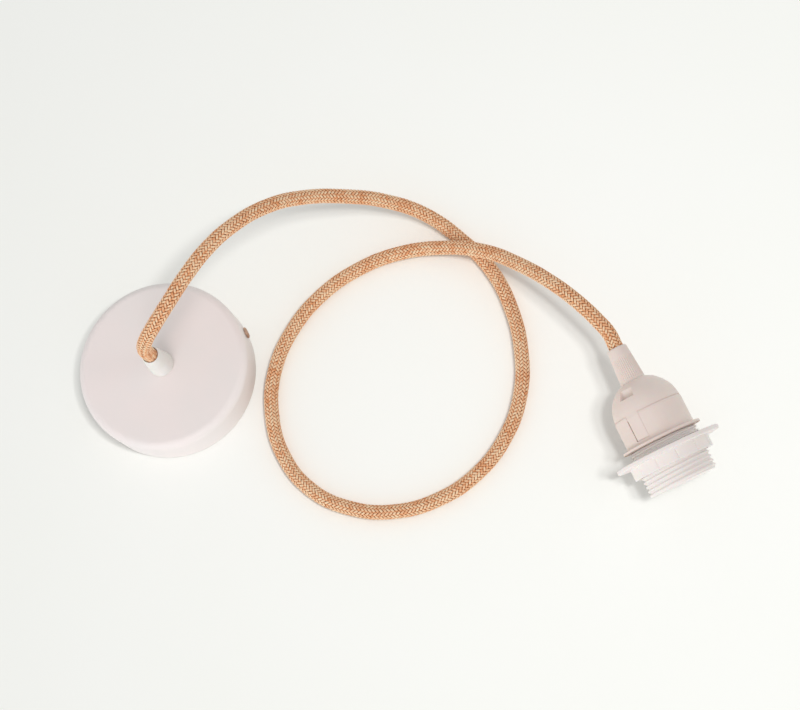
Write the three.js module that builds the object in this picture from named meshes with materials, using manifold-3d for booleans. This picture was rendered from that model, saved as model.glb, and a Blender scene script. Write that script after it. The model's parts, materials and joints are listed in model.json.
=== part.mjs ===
// Pendant cord set: a ceiling rose, a textile covered flex, and a threaded lampholder with its shade ring.
// Millimetres, +Z up. The set lies on a table: the rose stands on its rim with its centre at the origin,
// and the lampholder lies on the edge of its shade ring with its mouth towards -Y.
import * as THREE from 'three';
import { mergeVertices } from 'three/addons/utils/BufferGeometryUtils.js';
import Module from 'manifold-3d';

const wasm = await Module();
wasm.setup();

// Fits that many pieces share
const gap = 0.3; // left between pieces that touch
const cutOver = 2; // how far a cutting solid runs past the face that it cuts
const facetEase = 0.05; // added to a round fit, where the facets of two pieces don't line up
const fineSides = 10; // sides of screws and other small round pieces
const panStraight = 0.55; // share of a pan head's height that stands straight
const panTop = 0.8; // its top face, as a share of its radius
const slotStart = 0.5; // height of a slot's floor, as a share of the head's height

// Flex
const cordRadius = 4.25;
const sheathRadius = 3.35; // rubber sheath under the textile braid
const coreRadius = 1.15;
const coreSpread = 1.6; // distance of each core from the flex's axis
const cordSides = 8;
const cordSteps = 50;
const coreSides = 6;
const coreSteps = 7;
const coreDrop = 1.6; // each core runs straight this far out of the sheath
const coreBend = 3; // and then bends within about this distance

// Rose cup, pressed from sheet
const roseRadius = 50;
const roseHeight = 25;
const roseWall = 1;
const roseEdge = 6; // outer radius of the rounded shoulder
const roseSegments = 48;
const shoulderSteps = 4;

// Strap that is screwed to the ceiling, with a turned-up lug at each end
const strapWidth = 20;
const strapThick = 1.5;
const lugHeight = 16;
const bendRadius = 1.2; // inside of each bend
const bendSteps = 3;
const strapSlotWidth = 5;
const longSlot = { x: -27, length: 16 };
const shortSlot = { x: 37.5, length: 9.5 };
const slotSteps = 5;

// Side screws that hold the cup to the strap's lugs
const sideScrewLevel = 10;
const sideScrew = { shank: 1.75, length: 8, head: 3.4, headHeight: 1.3, slot: 0.9 };

// Nylon cord grip on the cup, with its shank, nut and pinching screw
const gripHeight = 22;
const gripBaseRadius = 7.4;
const gripFoot = 1.2; // straight foot under the cone
const gripTopRadius = 5.3;
const gripLip = 0.8; // rounding of the top edge
const gripPocket = 14; // depth of the bore that takes the braided flex
const boreCone = 1; // length of the cone from a wide bore to a narrow one
const shankRadius = 4.9;
const shankLength = 12;
const nutFlats = 14;
const nutThick = 3;
const gripSegments = 24;
const pinch = { angle: 115, height: 10, shank: 1.6, reach: 2.2, slot: 0.6, slotDepth: 1.2 };

// Two-way terminal block on the strap
const block = {
  x: 20.5, length: 17, width: 19, base: 8.2,
  tower: 12.4, towerRadius: 3, pitch: 11, screwInset: 4.2,
};
const tube = { outer: 2.4, axisHeight: 5.2, inset: 1 };
const terminalScrew = { shank: 1.3, head: 1.7, headHeight: 1.4, slot: 0.6, sunk: 1 };
const blockScrew = { shank: 1.3, head: 2.6, headHeight: 1.6, slot: 0.7 };

// Earth terminal on the strap
const earthX = -13;
const earthScrew = { shank: 1.75, head: 3.3, headHeight: 2, slot: 0.9 };
const tag = { ring: 3.7, thick: 0.8, neck: 2.4, barrel: 2, barrelStart: 3.9, barrelLength: 3.4, stop: 0.5 };

// Lampholder: stations along its axis, measured from the middle of the shade ring's flange
// towards the mouth, and radii
const mouth = 19.35;
const capFace = -6.3; // face of the cap's rim that looks at the shade ring
const capRim = { radius: 22.5, thick: 1.8, round: 0.4 };
const capRadius = 19.45;
const capWall = 1.65;
const seamAt = -24.8;
const seam = { width: 0.5, depth: 0.35 };
const domeBase = -24.2;
const domeRise = 18.8;
const domeRadius = 19.05;
const domeSteps = 5;
const capSegments = 34;
const neckRadius = 5.3;
const neckLength = 7.6;

// Latch tongue, pockets and stop lug of the cap, as angles round the axis from its upper side. One side of
// the tongue is slit through, the other side and the foot are a hairline.
const tongue = { from: 21.5, to: 44.5, top: -22, bottom: -10, slit: 0.55, line: 0.3, lineDepth: 0.5 };
const pocket = {
  angle: 32, count: 3, half: 15.4, floor: 12.8,
  bottom: -33.4, wall: 0.6, floorThick: 1.2,
};
const stopLug = {
  angle: -78, width: 2.2, outline: [[9, -40], [7.4, -41.5], [8.3, -41.5], [11.8, -39.4], [11.2, -38.8]],
};

// Ribbed collar that pinches the flex on top of the cap
const collarLength = 19.85;
const collar = {
  base: 7.1, top: 5.7, lip: 5.25, lipLength: 1.6,
  ribs: 24, ribDepth: 0.17, ribStart: 1, bare: 4, foot: 1,
};
const clampRing = { length: 4, slit: 1.6 };

// Threaded skirt: thread outside for the shade ring, lamp thread inside, and a hollow between the two walls
const skirtThread = { pitch: 2.5, crest: 19.6, root: 18.6, columns: 26 };
const lampThread = { pitch: 3.63, crest: 12.95, root: 13.85, columns: 16 };
const skirtInner = 17;
const lampWallRadius = 15.2;
const hollowTaper = 1; // length over which the hollow narrows from the sleeve to the skirt
const mouthWeb = 2;
const mouthChamfer = 1.2;
const sleeve = { length: 4.7, wall: 1.25 }; // plain sleeve that pushes into the cap

// Shade ring
const ring = { flange: 29.8, thick: 2.4, edge: 0.6, collar: 22.9, height: 9.15, chamfer: 0.5 };
const ringGap = 0.4; // running clearance over the skirt's crests
const ringMarks = { count: 12, offset: -3.5, width: 1.1, depth: 0.5, margin: 0.9 };
const ringSegments = 48;

// Contact carrier and contacts inside the holder
const carrierThick = 8.6;
const leaf = { width: 5, thick: 0.5, foot: 7.4, bend: 0.5, rise: 2.8, flat: 2, tail: 5.2 };
const sideLeaf = { at: 11.9, straight: 1, height: 6, bow: 0.8, tip: 0.3 };
const plate = { thick: 1.2, from: 4.5, to: 13.5, half: 4 };
const plateScrew = { at: 10.4, shank: 1.4, head: 2.4, headHeight: 1.6, slot: 0.7, depth: 5 };

// Where the lampholder lies
const holderX = 235;
const holderY = -172.5;
const holderTilt = 7; // degrees that the mouth points down

// Route of the free flex: up out of the grip, over the rose's edge, down to the table, round one open loop
// that crosses itself, and up to the lampholder's collar
const cordRoute = [
  [0.0, 0.0, 47.3],
  [0.0, 0.0, 56.0],
  [2.1, 0.1, 64.0],
  [6.1, 0.5, 71.0],
  [11.8, 1.7, 77.1],
  [26.5, 7.8, 85.1],
  [42.2, 17.6, 86.3],
  [57.9, 26.8, 84.5],
  [73.6, 34.0, 79.9],
  [95.6, 41.2, 67.6],
  [115.9, 43.3, 51.6],
  [136.8, 39.3, 36.6],
  [156.9, 31.5, 22.3],
  [174.9, 17.4, 10.3],
  [187.4, -4.4, 4.6],
  [195.0, -29.1, 4.4],
  [195.4, -55.0, 4.4],
  [189.7, -80.3, 4.4],
  [178.1, -103.4, 4.4],
  [160.0, -121.8, 4.4],
  [137.0, -133.6, 4.4],
  [111.4, -137.4, 4.4],
  [86.0, -132.9, 4.4],
  [63.6, -120.0, 4.4],
  [47.3, -100.1, 4.4],
  [40.9, -75.1, 4.4],
  [44.6, -49.5, 4.4],
  [56.5, -26.6, 4.4],
  [75.5, -9.0, 4.4],
  [98.7, 2.4, 4.4],
  [125.6, 7.2, 4.4],
  [151.6, 4.8, 4.8],
  [175.4, -5.1, 8.7],
  [194.8, -20.4, 17.1],
  [208.9, -39.9, 26.7],
  [220.4, -61.6, 35.5],
  [227.2, -77.3, 38.7],
  [232.9, -93.8, 39.0],
  [235.0, -102.2, 38.3],
];

// Values worked out from the driving sizes
const rad = THREE.MathUtils.degToRad;
const roseTop = roseHeight;
const gripBase = roseTop + gap;
const gripTop = gripBase + gripHeight - gap;
const flexBore = cordRadius + gap;
const sheathBore = sheathRadius + gap;
const capInner = capRadius - capWall;
const domeInner = domeRadius - capWall;
const domeInnerRise = domeRise - capWall;
const domeTopAngle = Math.acos(collar.base / domeRadius);
const domeTop = domeBase - domeRise * Math.sin(domeTopAngle);
const collarBase = domeTop - gap;
const collarTop = collarBase - collarLength;
const neckEnd = domeTop - neckLength;
const capBoreFit = capInner - gap - facetEase; // what goes into the cap
const skirtBack = capFace + gap;
const skirtEnd = skirtBack - sleeve.length;
const carrierFront = skirtEnd - gap;
const carrierBack = carrierFront - carrierThick;
const plateTop = carrierBack - gap - plate.thick;
const blockBase = strapThick + gap;
const tubeAxis = blockBase + tube.axisHeight;
const tubeBore = coreRadius + gap;
const rowX = block.length / 2 - block.screwInset;
const tailEnd = gripBase - shankLength - cutOver;
const coreStart = tailEnd - gap;
const holderTailEnd = domeTop + cutOver * 2;
const holderCoreStart = holderTailEnd + gap;
const ringLow = (ring.thick / 2 - ring.edge) * Math.sin(rad(holderTilt));
const holderZ = ring.flange * Math.cos(rad(holderTilt)) + ringLow;

// Materials
function material(color, roughness, metalness) {
  return new THREE.MeshStandardMaterial({ color, roughness, metalness });
}

const paintedSteel = material(0xe6dfdb, 0.45, 0.1);
const zincSteel = material(0xb9bcbf, 0.35, 0.9);
const bronzeSteel = material(0x7a5a3c, 0.4, 0.9);
const brass = material(0xc9a24f, 0.3, 0.95);
const whiteNylon = material(0xf1efea, 0.5, 0);
const clearNylon = material(0xdedbd2, 0.45, 0);
const holderPlastic = material(0xe3d7cd, 0.42, 0);
const carrierPlastic = material(0xe9e4da, 0.55, 0);
const braid = material(0xd9a06c, 0.9, 0);
const sheathRubber = material(0xd8d5cf, 0.6, 0);
const brownCore = material(0x6b4127, 0.5, 0);
const blueCore = material(0x3d6fb0, 0.5, 0);
const earthCore = material(0x8fae3a, 0.5, 0);

// Solids: a closed triangle mesh becomes a solid that can be joined and cut
function toSolid(geometry) {
  const bare = geometry.clone();
  bare.deleteAttribute('normal');
  bare.deleteAttribute('uv');
  const merged = mergeVertices(bare, 1e-4);
  const points = merged.attributes.position.array;
  const corners = [];
  for (let i = 0; i < merged.index.count; i += 3) {
    const [a, b, c] = [0, 1, 2].map((k) => merged.index.getX(i + k));
    if (a !== b && b !== c && c !== a) corners.push(a, b, c);
  }
  if (signedVolume(points, corners) < 0) corners.reverse();
  const mesh = new wasm.Mesh({
    numProp: 3,
    vertProperties: Float32Array.from(points),
    triVerts: Uint32Array.from(corners),
  });
  return new wasm.Manifold(mesh);
}

function signedVolume(points, corners) {
  const at = (i) => new THREE.Vector3().fromArray(points, 3 * i);
  let six = 0;
  for (let i = 0; i < corners.length; i += 3) {
    six += at(corners[i]).dot(at(corners[i + 1]).cross(at(corners[i + 2])));
  }
  return six;
}

function toGeometry(solid) {
  const mesh = solid.getMesh();
  const geometry = new THREE.BufferGeometry();
  geometry.setAttribute('position', new THREE.BufferAttribute(Float32Array.from(mesh.vertProperties), 3));
  geometry.setIndex(new THREE.BufferAttribute(Uint32Array.from(mesh.triVerts), 1));
  const faceted = geometry.toNonIndexed();
  faceted.computeVertexNormals();
  return faceted;
}

function piece(name, solid, look) {
  const mesh = new THREE.Mesh(toGeometry(solid), look);
  mesh.name = name;
  return mesh;
}

// Profile of radius and height, closed on itself or on the axis, turned round the Z axis
function revolve(profile, segments) {
  const points = profile.map(([r, z]) => new THREE.Vector2(r, z));
  points.push(points[0].clone());
  const geometry = new THREE.LatheGeometry(points, segments);
  geometry.rotateX(Math.PI / 2);
  return toSolid(geometry);
}

function arc(centre, radius, from, to, steps) {
  const list = [];
  for (let i = 0; i <= steps; i += 1) {
    const angle = rad(from + ((to - from) * i) / steps);
    list.push([centre[0] + radius * Math.cos(angle), centre[1] + radius * Math.sin(angle)]);
  }
  return list;
}

function cylinder(radius, from, to, segments = fineSides) {
  return revolve([[0, from], [radius, from], [radius, to], [0, to]], segments);
}

// Flat outline in X and Y, raised from one level to another
function slab(outline, from, to) {
  const shape = new THREE.Shape(outline.map(([x, y]) => new THREE.Vector2(x, y)));
  const geometry = new THREE.ExtrudeGeometry(shape, { depth: to - from, bevelEnabled: false, steps: 1 });
  geometry.translate(0, 0, from);
  return toSolid(geometry);
}

function box(x, y, z) {
  return slab([[x[0], y[0]], [x[1], y[0]], [x[1], y[1]], [x[0], y[1]]], z[0], z[1]);
}

function turned(solid, x, y, z) {
  return solid.rotate([x, y, z]);
}

function moved(solid, x, y, z) {
  return solid.translate([x, y, z]);
}

// Round bar along a smooth line through points
function bar(points, radius, sides, steps) {
  const line = new THREE.CatmullRomCurve3(points.map((p) => new THREE.Vector3(...p)), false, 'centripetal');
  const outline = arc([0, 0], radius, 0, 360 - 360 / sides, sides - 1);
  const shape = new THREE.Shape(outline.map(([x, y]) => new THREE.Vector2(x, y)));
  return toSolid(new THREE.ExtrudeGeometry(shape, { steps, extrudePath: line, bevelEnabled: false }));
}

// Round bar with a screw thread, cut square at both ends. The section gives [share of pitch, radius].
function threadedBar(section, pitch, columns, from, to) {
  const rows = section.length;
  const turns = Math.ceil((to - from) / pitch) + 3;
  const start = from - 2 * pitch;
  const positions = [];
  for (let j = 0; j <= turns * rows; j += 1) {
    const [share, radius] = section[j % rows];
    for (let i = 0; i < columns; i += 1) {
      const angle = (2 * Math.PI * i) / columns;
      const height = start + pitch * (Math.floor(j / rows) + share + i / columns);
      positions.push(radius * Math.cos(angle), radius * Math.sin(angle), height);
    }
  }
  const last = turns * rows;
  const index = (j, i) => (i < columns ? j * columns + i : (j + rows) * columns);
  const low = positions.length / 3;
  positions.push(0, 0, start - pitch, 0, 0, start + pitch * (turns + 2));
  const corners = [];
  for (let j = 0; j < last; j += 1) {
    for (let i = 0; i < columns; i += 1) {
      if (i === columns - 1 && j + 1 + rows > last) continue;
      corners.push(index(j, i), index(j, i + 1), index(j + 1, i + 1));
      corners.push(index(j, i), index(j + 1, i + 1), index(j + 1, i));
    }
  }
  for (let i = 0; i < columns - 1; i += 1) {
    corners.push(low, index(0, i + 1), index(0, i));
    corners.push(low + 1, index(last, i), index(last, i + 1));
  }
  corners.push(low, index(rows, 0), index(0, columns - 1));
  corners.push(low + 1, index(last - rows, columns - 1), index(last, 0));
  for (let j = 0; j < rows; j += 1) {
    corners.push(low, index(j, 0), index(j + 1, 0));
    corners.push(low + 1, index(last - j, columns - 1), index(last - j - 1, columns - 1));
  }
  const geometry = new THREE.BufferGeometry();
  geometry.setAttribute('position', new THREE.Float32BufferAttribute(positions, 3));
  geometry.setIndex(corners);
  const widest = Math.max(...section.map(([, radius]) => radius)) + cutOver;
  return toSolid(geometry).intersect(cylinder(widest, from, to, columns));
}

// Screw with a pan head and a straight slot: its head starts at height zero and its shank points down
function screw({ shank, head, headHeight, slot }, length) {
  const body = revolve([
    [0, -length],
    [shank - gap, -length],
    [shank, -length + gap],
    [shank, 0],
    [head, 0],
    [head, headHeight * panStraight],
    [head * panTop, headHeight],
    [0, headHeight],
  ], fineSides);
  const half = slot / 2;
  const across = head + cutOver;
  return body.subtract(box([-half, half], [-across, across], [headHeight * slotStart, headHeight + cutOver]));
}

// Oblong with round ends, lying along X
function oblong(x, length, width) {
  const reach = (length - width) / 2;
  return [
    ...arc([x + reach, 0], width / 2, -90, 90, slotSteps),
    ...arc([x - reach, 0], width / 2, 90, 270, slotSteps),
  ];
}

// Rose cup
function roseCup() {
  const inner = roseRadius - roseWall;
  const shoulder = [roseRadius - roseEdge, roseTop - roseEdge];
  const bore = shankRadius + gap;
  const shell = revolve([
    [bore, roseTop],
    ...arc(shoulder, roseEdge, 90, 0, shoulderSteps),
    [roseRadius, 0],
    [inner, 0],
    ...arc(shoulder, roseEdge - roseWall, 0, 90, shoulderSteps),
    [bore, roseTop - roseWall],
  ], roseSegments);
  const reach = roseRadius + cutOver;
  const drill = turned(cylinder(sideScrew.shank + gap, -reach, reach), 0, 90, 0);
  return shell.subtract(moved(drill, 0, 0, sideScrewLevel));
}

// Strap with its two turned-up lugs, its ceiling slots and its tapped holes
function strap() {
  const half = Math.sqrt((roseRadius - roseWall - gap) ** 2 - (strapWidth / 2) ** 2);
  const outside = bendRadius + strapThick;
  const outline = [
    ...arc([half - outside, outside], outside, -90, 0, bendSteps),
    [half, lugHeight],
    [half - strapThick, lugHeight],
    ...arc([half - outside, outside], bendRadius, 0, -90, bendSteps),
    ...arc([outside - half, outside], bendRadius, -90, -180, bendSteps),
    [strapThick - half, lugHeight],
    [-half, lugHeight],
    ...arc([outside - half, outside], outside, 180, 270, bendSteps),
  ];
  let body = moved(turned(slab(outline, 0, strapWidth), 90, 0, 0), 0, strapWidth / 2, 0);
  const below = -cutOver;
  const above = strapThick + gap;
  for (const slot of [longSlot, shortSlot]) {
    body = body.subtract(slab(oblong(slot.x, slot.length, strapSlotWidth), below, above));
  }
  body = body.subtract(moved(cylinder(earthScrew.shank + gap, below, above), earthX, 0, 0));
  body = body.subtract(moved(cylinder(blockScrew.shank + gap, below, above), block.x, 0, 0));
  const lugDrill = turned(cylinder(sideScrew.shank + gap, -roseRadius, roseRadius), 0, 90, 0);
  return body.subtract(moved(lugDrill, 0, 0, sideScrewLevel));
}

// Nylon grip: foot, cone, hollow shank, and a tapped side hole for the pinching screw
function cordGrip() {
  const shankEnd = gripBase - shankLength;
  const pocketEnd = gripTop - gripPocket;
  const body = revolve([
    [sheathBore, shankEnd],
    [shankRadius, shankEnd],
    [shankRadius, gripBase],
    [gripBaseRadius, gripBase],
    [gripBaseRadius, gripBase + gripFoot],
    [gripTopRadius, gripTop - gripLip],
    [gripTopRadius - gripLip / 3, gripTop],
    [flexBore, gripTop],
    [flexBore, pocketEnd],
    [sheathBore, pocketEnd - boreCone],
  ], gripSegments);
  const hole = turned(cylinder(pinch.shank + gap, 0, gripBaseRadius + cutOver), 0, 90, pinch.angle);
  return body.subtract(moved(hole, 0, 0, gripTop - pinch.height));
}

function pinchScrew() {
  const tip = cordRadius + gap;
  const body = cylinder(pinch.shank, tip, gripBaseRadius + pinch.reach - gap);
  const end = gripBaseRadius + pinch.reach;
  const half = pinch.slot / 2;
  const across = pinch.shank + cutOver;
  const slot = box([-half, half], [-across, across], [end - pinch.slotDepth, end + cutOver]);
  const slotted = body.subtract(slot);
  return moved(turned(slotted, 0, 90, pinch.angle), 0, 0, gripTop - pinch.height);
}

function gripNut() {
  const corner = nutFlats / Math.sqrt(3);
  const top = roseTop - roseWall - gap;
  const hexagon = slab(arc([0, 0], corner, 0, 300, 5), top - nutThick, top);
  const hole = cylinder(shankRadius + gap, top - nutThick - cutOver, top + cutOver, gripSegments);
  return hexagon.subtract(hole);
}

// Flex held in the rose: braided down to the end of the grip's pocket, then bare sheath
function roseTail() {
  const pocketEnd = gripTop - gripPocket + gap;
  return revolve([
    [0, tailEnd],
    [sheathRadius, tailEnd],
    [sheathRadius, pocketEnd],
    [cordRadius, pocketEnd],
    [cordRadius, gripTop],
    [0, gripTop],
  ], fineSides);
}

function roseCore(side) {
  const x = coreSpread / 2;
  const y = (side * coreSpread * Math.sqrt(3)) / 2;
  const wayY = (side * block.pitch) / 2;
  const entry = block.x - block.length / 2;
  const route = [
    [x, y, coreStart],
    [x, y, coreStart - coreDrop],
    [x + coreBend, (y + wayY) / 2, (coreStart - coreDrop + tubeAxis) / 2],
    [entry - coreBend, wayY, tubeAxis],
    [entry, wayY, tubeAxis],
    [block.x - rowX + cutOver, wayY, tubeAxis],
  ];
  return bar(route, coreRadius, coreSides, coreSteps);
}

function earthLead() {
  const barrelAxis = blockBase + tag.barrel;
  const route = [
    [-coreSpread, 0, coreStart],
    [-coreSpread, 0, coreStart - coreDrop],
    [-coreSpread - coreDrop, 0, barrelAxis + coreDrop],
    [earthX + tag.barrelStart + tag.barrelLength + tag.stop, 0, barrelAxis],
    [earthX + tag.barrelStart + 2 * tag.stop, 0, barrelAxis],
  ];
  return bar(route, coreRadius, coreSides, coreSteps);
}

// Two-way terminal block: a low base with four round towers over the screws
function terminalBlock() {
  const halfLength = block.length / 2;
  const halfWidth = block.width / 2;
  const top = blockBase + block.base;
  let body = box([-halfLength, halfLength], [-halfWidth, halfWidth], [blockBase, top]);
  const columns = [-rowX, rowX];
  const ways = [-block.pitch / 2, block.pitch / 2];
  for (const x of columns) {
    for (const y of ways) {
      body = body.add(moved(cylinder(block.towerRadius, blockBase, blockBase + block.tower), x, y, 0));
    }
  }
  for (const y of ways) {
    const bore = turned(cylinder(tube.outer + gap, -halfLength - cutOver, halfLength + cutOver), 0, 90, 0);
    body = body.subtract(moved(bore, 0, y, tubeAxis));
    for (const x of columns) {
      const well = cylinder(terminalScrew.head + gap, tubeAxis, blockBase + block.tower + cutOver);
      body = body.subtract(moved(well, x, y, 0));
    }
  }
  body = body.subtract(cylinder(blockScrew.shank + gap, blockBase - cutOver, top + cutOver));
  return moved(body, block.x, 0, 0);
}

function terminalTube(side) {
  const half = block.length / 2 - tube.inset;
  let body = cylinder(tube.outer, -half, half);
  body = body.subtract(cylinder(tubeBore, -half - cutOver, half + cutOver));
  body = turned(body, 0, 90, 0);
  for (const x of [-rowX, rowX]) {
    body = body.subtract(moved(cylinder(terminalScrew.shank + gap, 0, tube.outer + cutOver), x, 0, 0));
  }
  return moved(body, block.x, (side * block.pitch) / 2, tubeAxis);
}

function terminalScrewAt(column, side) {
  const headBase = blockBase + block.tower - terminalScrew.headHeight - terminalScrew.sunk;
  const tip = tubeAxis + coreRadius + gap;
  const body = screw(terminalScrew, headBase - tip);
  return moved(body, block.x + column * rowX, (side * block.pitch) / 2, headBase);
}

function blockScrewPiece() {
  const headBase = blockBase + block.base + gap;
  return moved(screw(blockScrew, headBase - gap), block.x, 0, headBase);
}

// Ring tag crimped on the earth core
function earthTag() {
  const start = earthX + tag.barrelStart;
  const end = start + tag.barrelLength;
  const top = blockBase + tag.thick;
  const axis = blockBase + tag.barrel;
  let body = moved(cylinder(tag.ring, blockBase, top), earthX, 0, 0);
  body = body.add(box([earthX, start + cutOver], [-tag.neck / 2, tag.neck / 2], [blockBase, top]));
  const barrel = moved(turned(cylinder(tag.barrel, start, end), 0, 90, 0), 0, 0, axis);
  const drill = cylinder(coreRadius + gap, start + tag.stop, end + cutOver);
  const bore = moved(turned(drill, 0, 90, 0), 0, 0, axis);
  body = body.add(barrel).subtract(bore);
  return body.subtract(moved(cylinder(earthScrew.shank + gap, 0, top + cutOver), earthX, 0, 0));
}

function earthScrewPiece() {
  const headBase = blockBase + tag.thick + gap;
  return moved(screw(earthScrew, headBase - gap), earthX, 0, headBase);
}

// Part of a turn round the holder's axis, from one angle to another
function wedge(from, to, reach, low, high) {
  const corners = [[0, 0], ...arc([0, 0], reach, from, to, 3)];
  return slab(corners, low, high);
}

// Dome cap with its rim, neck, seam, latch tongue, three pockets and the lug that stops the collar turning
function holderCap() {
  const rimBack = capFace - capRim.thick;
  const round = capRim.round;
  const dome = [];
  const hollow = [];
  const innerTopAngle = Math.acos(flexBore / domeInner);
  for (let i = 0; i <= domeSteps; i += 1) {
    const outerAngle = (domeTopAngle * i) / domeSteps;
    const innerAngle = (innerTopAngle * (domeSteps - i)) / domeSteps;
    dome.push([domeRadius * Math.cos(outerAngle), domeBase - domeRise * Math.sin(outerAngle)]);
    hollow.push([domeInner * Math.cos(innerAngle), domeBase - domeInnerRise * Math.sin(innerAngle)]);
  }
  const outside = [
    [capRim.radius - round, capFace],
    [capRim.radius, capFace - round],
    [capRim.radius, rimBack + round],
    [capRim.radius - round, rimBack],
    [capRadius, rimBack],
    [capRadius, seamAt],
    [domeRadius, seamAt],
    ...dome.slice(1),
  ];
  const neck = [[neckRadius, domeTop], [neckRadius, neckEnd], [flexBore, neckEnd]];
  let cap = revolve([...outside, ...neck, ...hollow, [capInner, domeBase], [capInner, capFace]], capSegments);
  const filled = revolve([[0, capFace], ...outside, [0, domeTop]], capSegments);

  const reach = capRadius + cutOver;
  let groove = revolve([
    [capRadius - seam.depth, seamAt],
    [reach, seamAt],
    [reach, seamAt + seam.width],
    [capRadius - seam.depth, seamAt + seam.width],
  ], capSegments);
  const bridge = [seamAt - cutOver, seamAt + seam.width + cutOver];
  groove = groove.subtract(wedge(tongue.from, tongue.to, 2 * reach, ...bridge));
  cap = cap.subtract(groove);

  const slit = tongue.slit / 2;
  const slot = box([capInner - cutOver, reach], [-slit, slit], [tongue.top, tongue.bottom]);
  cap = cap.subtract(turned(slot, 0, 0, tongue.to));
  const line = tongue.line / 2;
  const lineFloor = capRadius - tongue.lineDepth;
  const hairline = box([lineFloor, reach], [-line, line], [seamAt, tongue.bottom]);
  cap = cap.subtract(turned(hairline, 0, 0, tongue.from));
  const foot = wedge(tongue.from, tongue.to, reach, tongue.bottom - tongue.line, tongue.bottom);
  cap = cap.subtract(foot.subtract(cylinder(lineFloor, tongue.top, capFace, capSegments)));

  const side = pocket.half + THREE.MathUtils.radToDeg(pocket.wall / pocket.floor);
  for (let i = 0; i < pocket.count; i += 1) {
    const angle = pocket.angle + (360 / pocket.count) * i;
    const floor = cylinder(pocket.floor, domeTop, pocket.bottom + cutOver, capSegments);
    const hole = wedge(angle - pocket.half, angle + pocket.half, reach, domeTop, pocket.bottom);
    const core = cylinder(pocket.floor - pocket.floorThick, domeTop - cutOver, domeBase, capSegments);
    const lining = wedge(angle - side, angle + side, reach, domeTop, pocket.bottom + pocket.wall);
    cap = cap.add(lining.subtract(core).intersect(filled)).subtract(hole.subtract(floor));
  }

  const halfLug = stopLug.width / 2;
  const lug = turned(slab(stopLug.outline, -halfLug, halfLug), 90, 0, 0);
  return cap.add(turned(lug, 0, 0, stopLug.angle));
}

// Tapered collar with fine ribs along its middle
function gripCollar() {
  const columns = collar.ribs * 2;
  const base = collarBase;
  const lipStart = collarTop + collar.lipLength;
  const slope = (collar.base - collar.top) / (base - lipStart);
  const radiusAt = (z) => collar.base - slope * (base - z);
  const body = revolve([
    [0, base],
    [collar.base, base],
    [collar.top, lipStart],
    [collar.lip, collarTop],
    [0, collarTop],
  ], columns);
  let ribbed = body;
  const high = base - collar.foot;
  const low = lipStart + collar.bare;
  const star = (z, depth) => {
    const list = [];
    for (let i = 0; i < columns; i += 1) {
      const radius = radiusAt(z) + (i % 2 ? depth : -depth);
      const angle = (2 * Math.PI * i) / columns;
      list.push([radius * Math.cos(angle), radius * Math.sin(angle), z]);
    }
    return list;
  };
  const { ribStart, ribDepth } = collar;
  const ribs = [star(low, -facetEase), star(low + ribStart, ribDepth), star(high, ribDepth)];
  ribbed = ribbed.add(loft(ribs));
  const neckBore = neckRadius + gap + facetEase;
  const clampEnd = neckEnd - gap - clampRing.length - gap;
  const bore = revolve([
    [0, base + cutOver],
    [neckBore, base + cutOver],
    [neckBore, clampEnd],
    [flexBore, clampEnd - boreCone],
    [flexBore, collarTop - cutOver],
    [0, collarTop - cutOver],
  ], gripSegments);
  return ribbed.subtract(bore);
}

// Skin through rings of points, closed flat at both ends
function loft(rings) {
  const columns = rings[0].length;
  const positions = rings.flat(2);
  const corners = [];
  const at = (j, i) => j * columns + (i % columns);
  for (let j = 0; j < rings.length - 1; j += 1) {
    for (let i = 0; i < columns; i += 1) {
      corners.push(at(j, i), at(j, i + 1), at(j + 1, i + 1));
      corners.push(at(j, i), at(j + 1, i + 1), at(j + 1, i));
    }
  }
  const low = positions.length / 3;
  const last = rings.length - 1;
  positions.push(0, 0, rings[0][0][2], 0, 0, rings[last][0][2]);
  for (let i = 0; i < columns; i += 1) {
    corners.push(low, at(0, i + 1), at(0, i));
    corners.push(low + 1, at(last, i), at(last, i + 1));
  }
  const geometry = new THREE.BufferGeometry();
  geometry.setAttribute('position', new THREE.Float32BufferAttribute(positions, 3));
  geometry.setIndex(corners);
  return toSolid(geometry);
}

// Split ring that the collar squeezes on the flex
function clampPiece() {
  const high = neckEnd - gap;
  const low = high - clampRing.length;
  const body = revolve([
    [flexBore, low],
    [neckRadius - gap, low],
    [neckRadius, low + gap],
    [neckRadius, high],
    [flexBore, high],
  ], gripSegments);
  const half = clampRing.slit / 2;
  return body.subtract(box([0, neckRadius + cutOver], [-half, half], [low - cutOver, high + cutOver]));
}

// Skirt: thread outside, lamp thread inside, an annular hollow open at the back, and a sleeve into the cap
function threadedSkirt() {
  const { crest, root, pitch, columns } = skirtThread;
  const ridge = [[0, root], [0.35, root], [0.5, crest], [0.85, crest]];
  const outer = threadedBar(ridge, pitch, columns, skirtBack, mouth);
  const sleeveInner = capBoreFit - sleeve.wall;
  const plug = cylinder(capBoreFit, skirtEnd, skirtBack + hollowTaper, columns);
  const hollow = revolve([
    [lampWallRadius, skirtEnd - cutOver],
    [sleeveInner, skirtEnd - cutOver],
    [sleeveInner, skirtBack],
    [skirtInner, skirtBack + hollowTaper],
    [skirtInner, mouth - mouthWeb],
    [lampWallRadius, mouth - mouthWeb],
  ], columns);
  const lamp = lampThread;
  const section = [[0, lamp.crest], [0.35, lamp.root], [0.65, lamp.root]];
  const bore = threadedBar(section, lamp.pitch, lamp.columns, skirtEnd - cutOver, mouth + cutOver);
  const flare = revolve([
    [0, mouth - mouthChamfer],
    [lamp.root, mouth - mouthChamfer],
    [lamp.root + mouthChamfer, mouth + gap],
    [0, mouth + gap],
  ], columns);
  return outer.add(plug).subtract(hollow).subtract(bore).subtract(flare);
}

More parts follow.
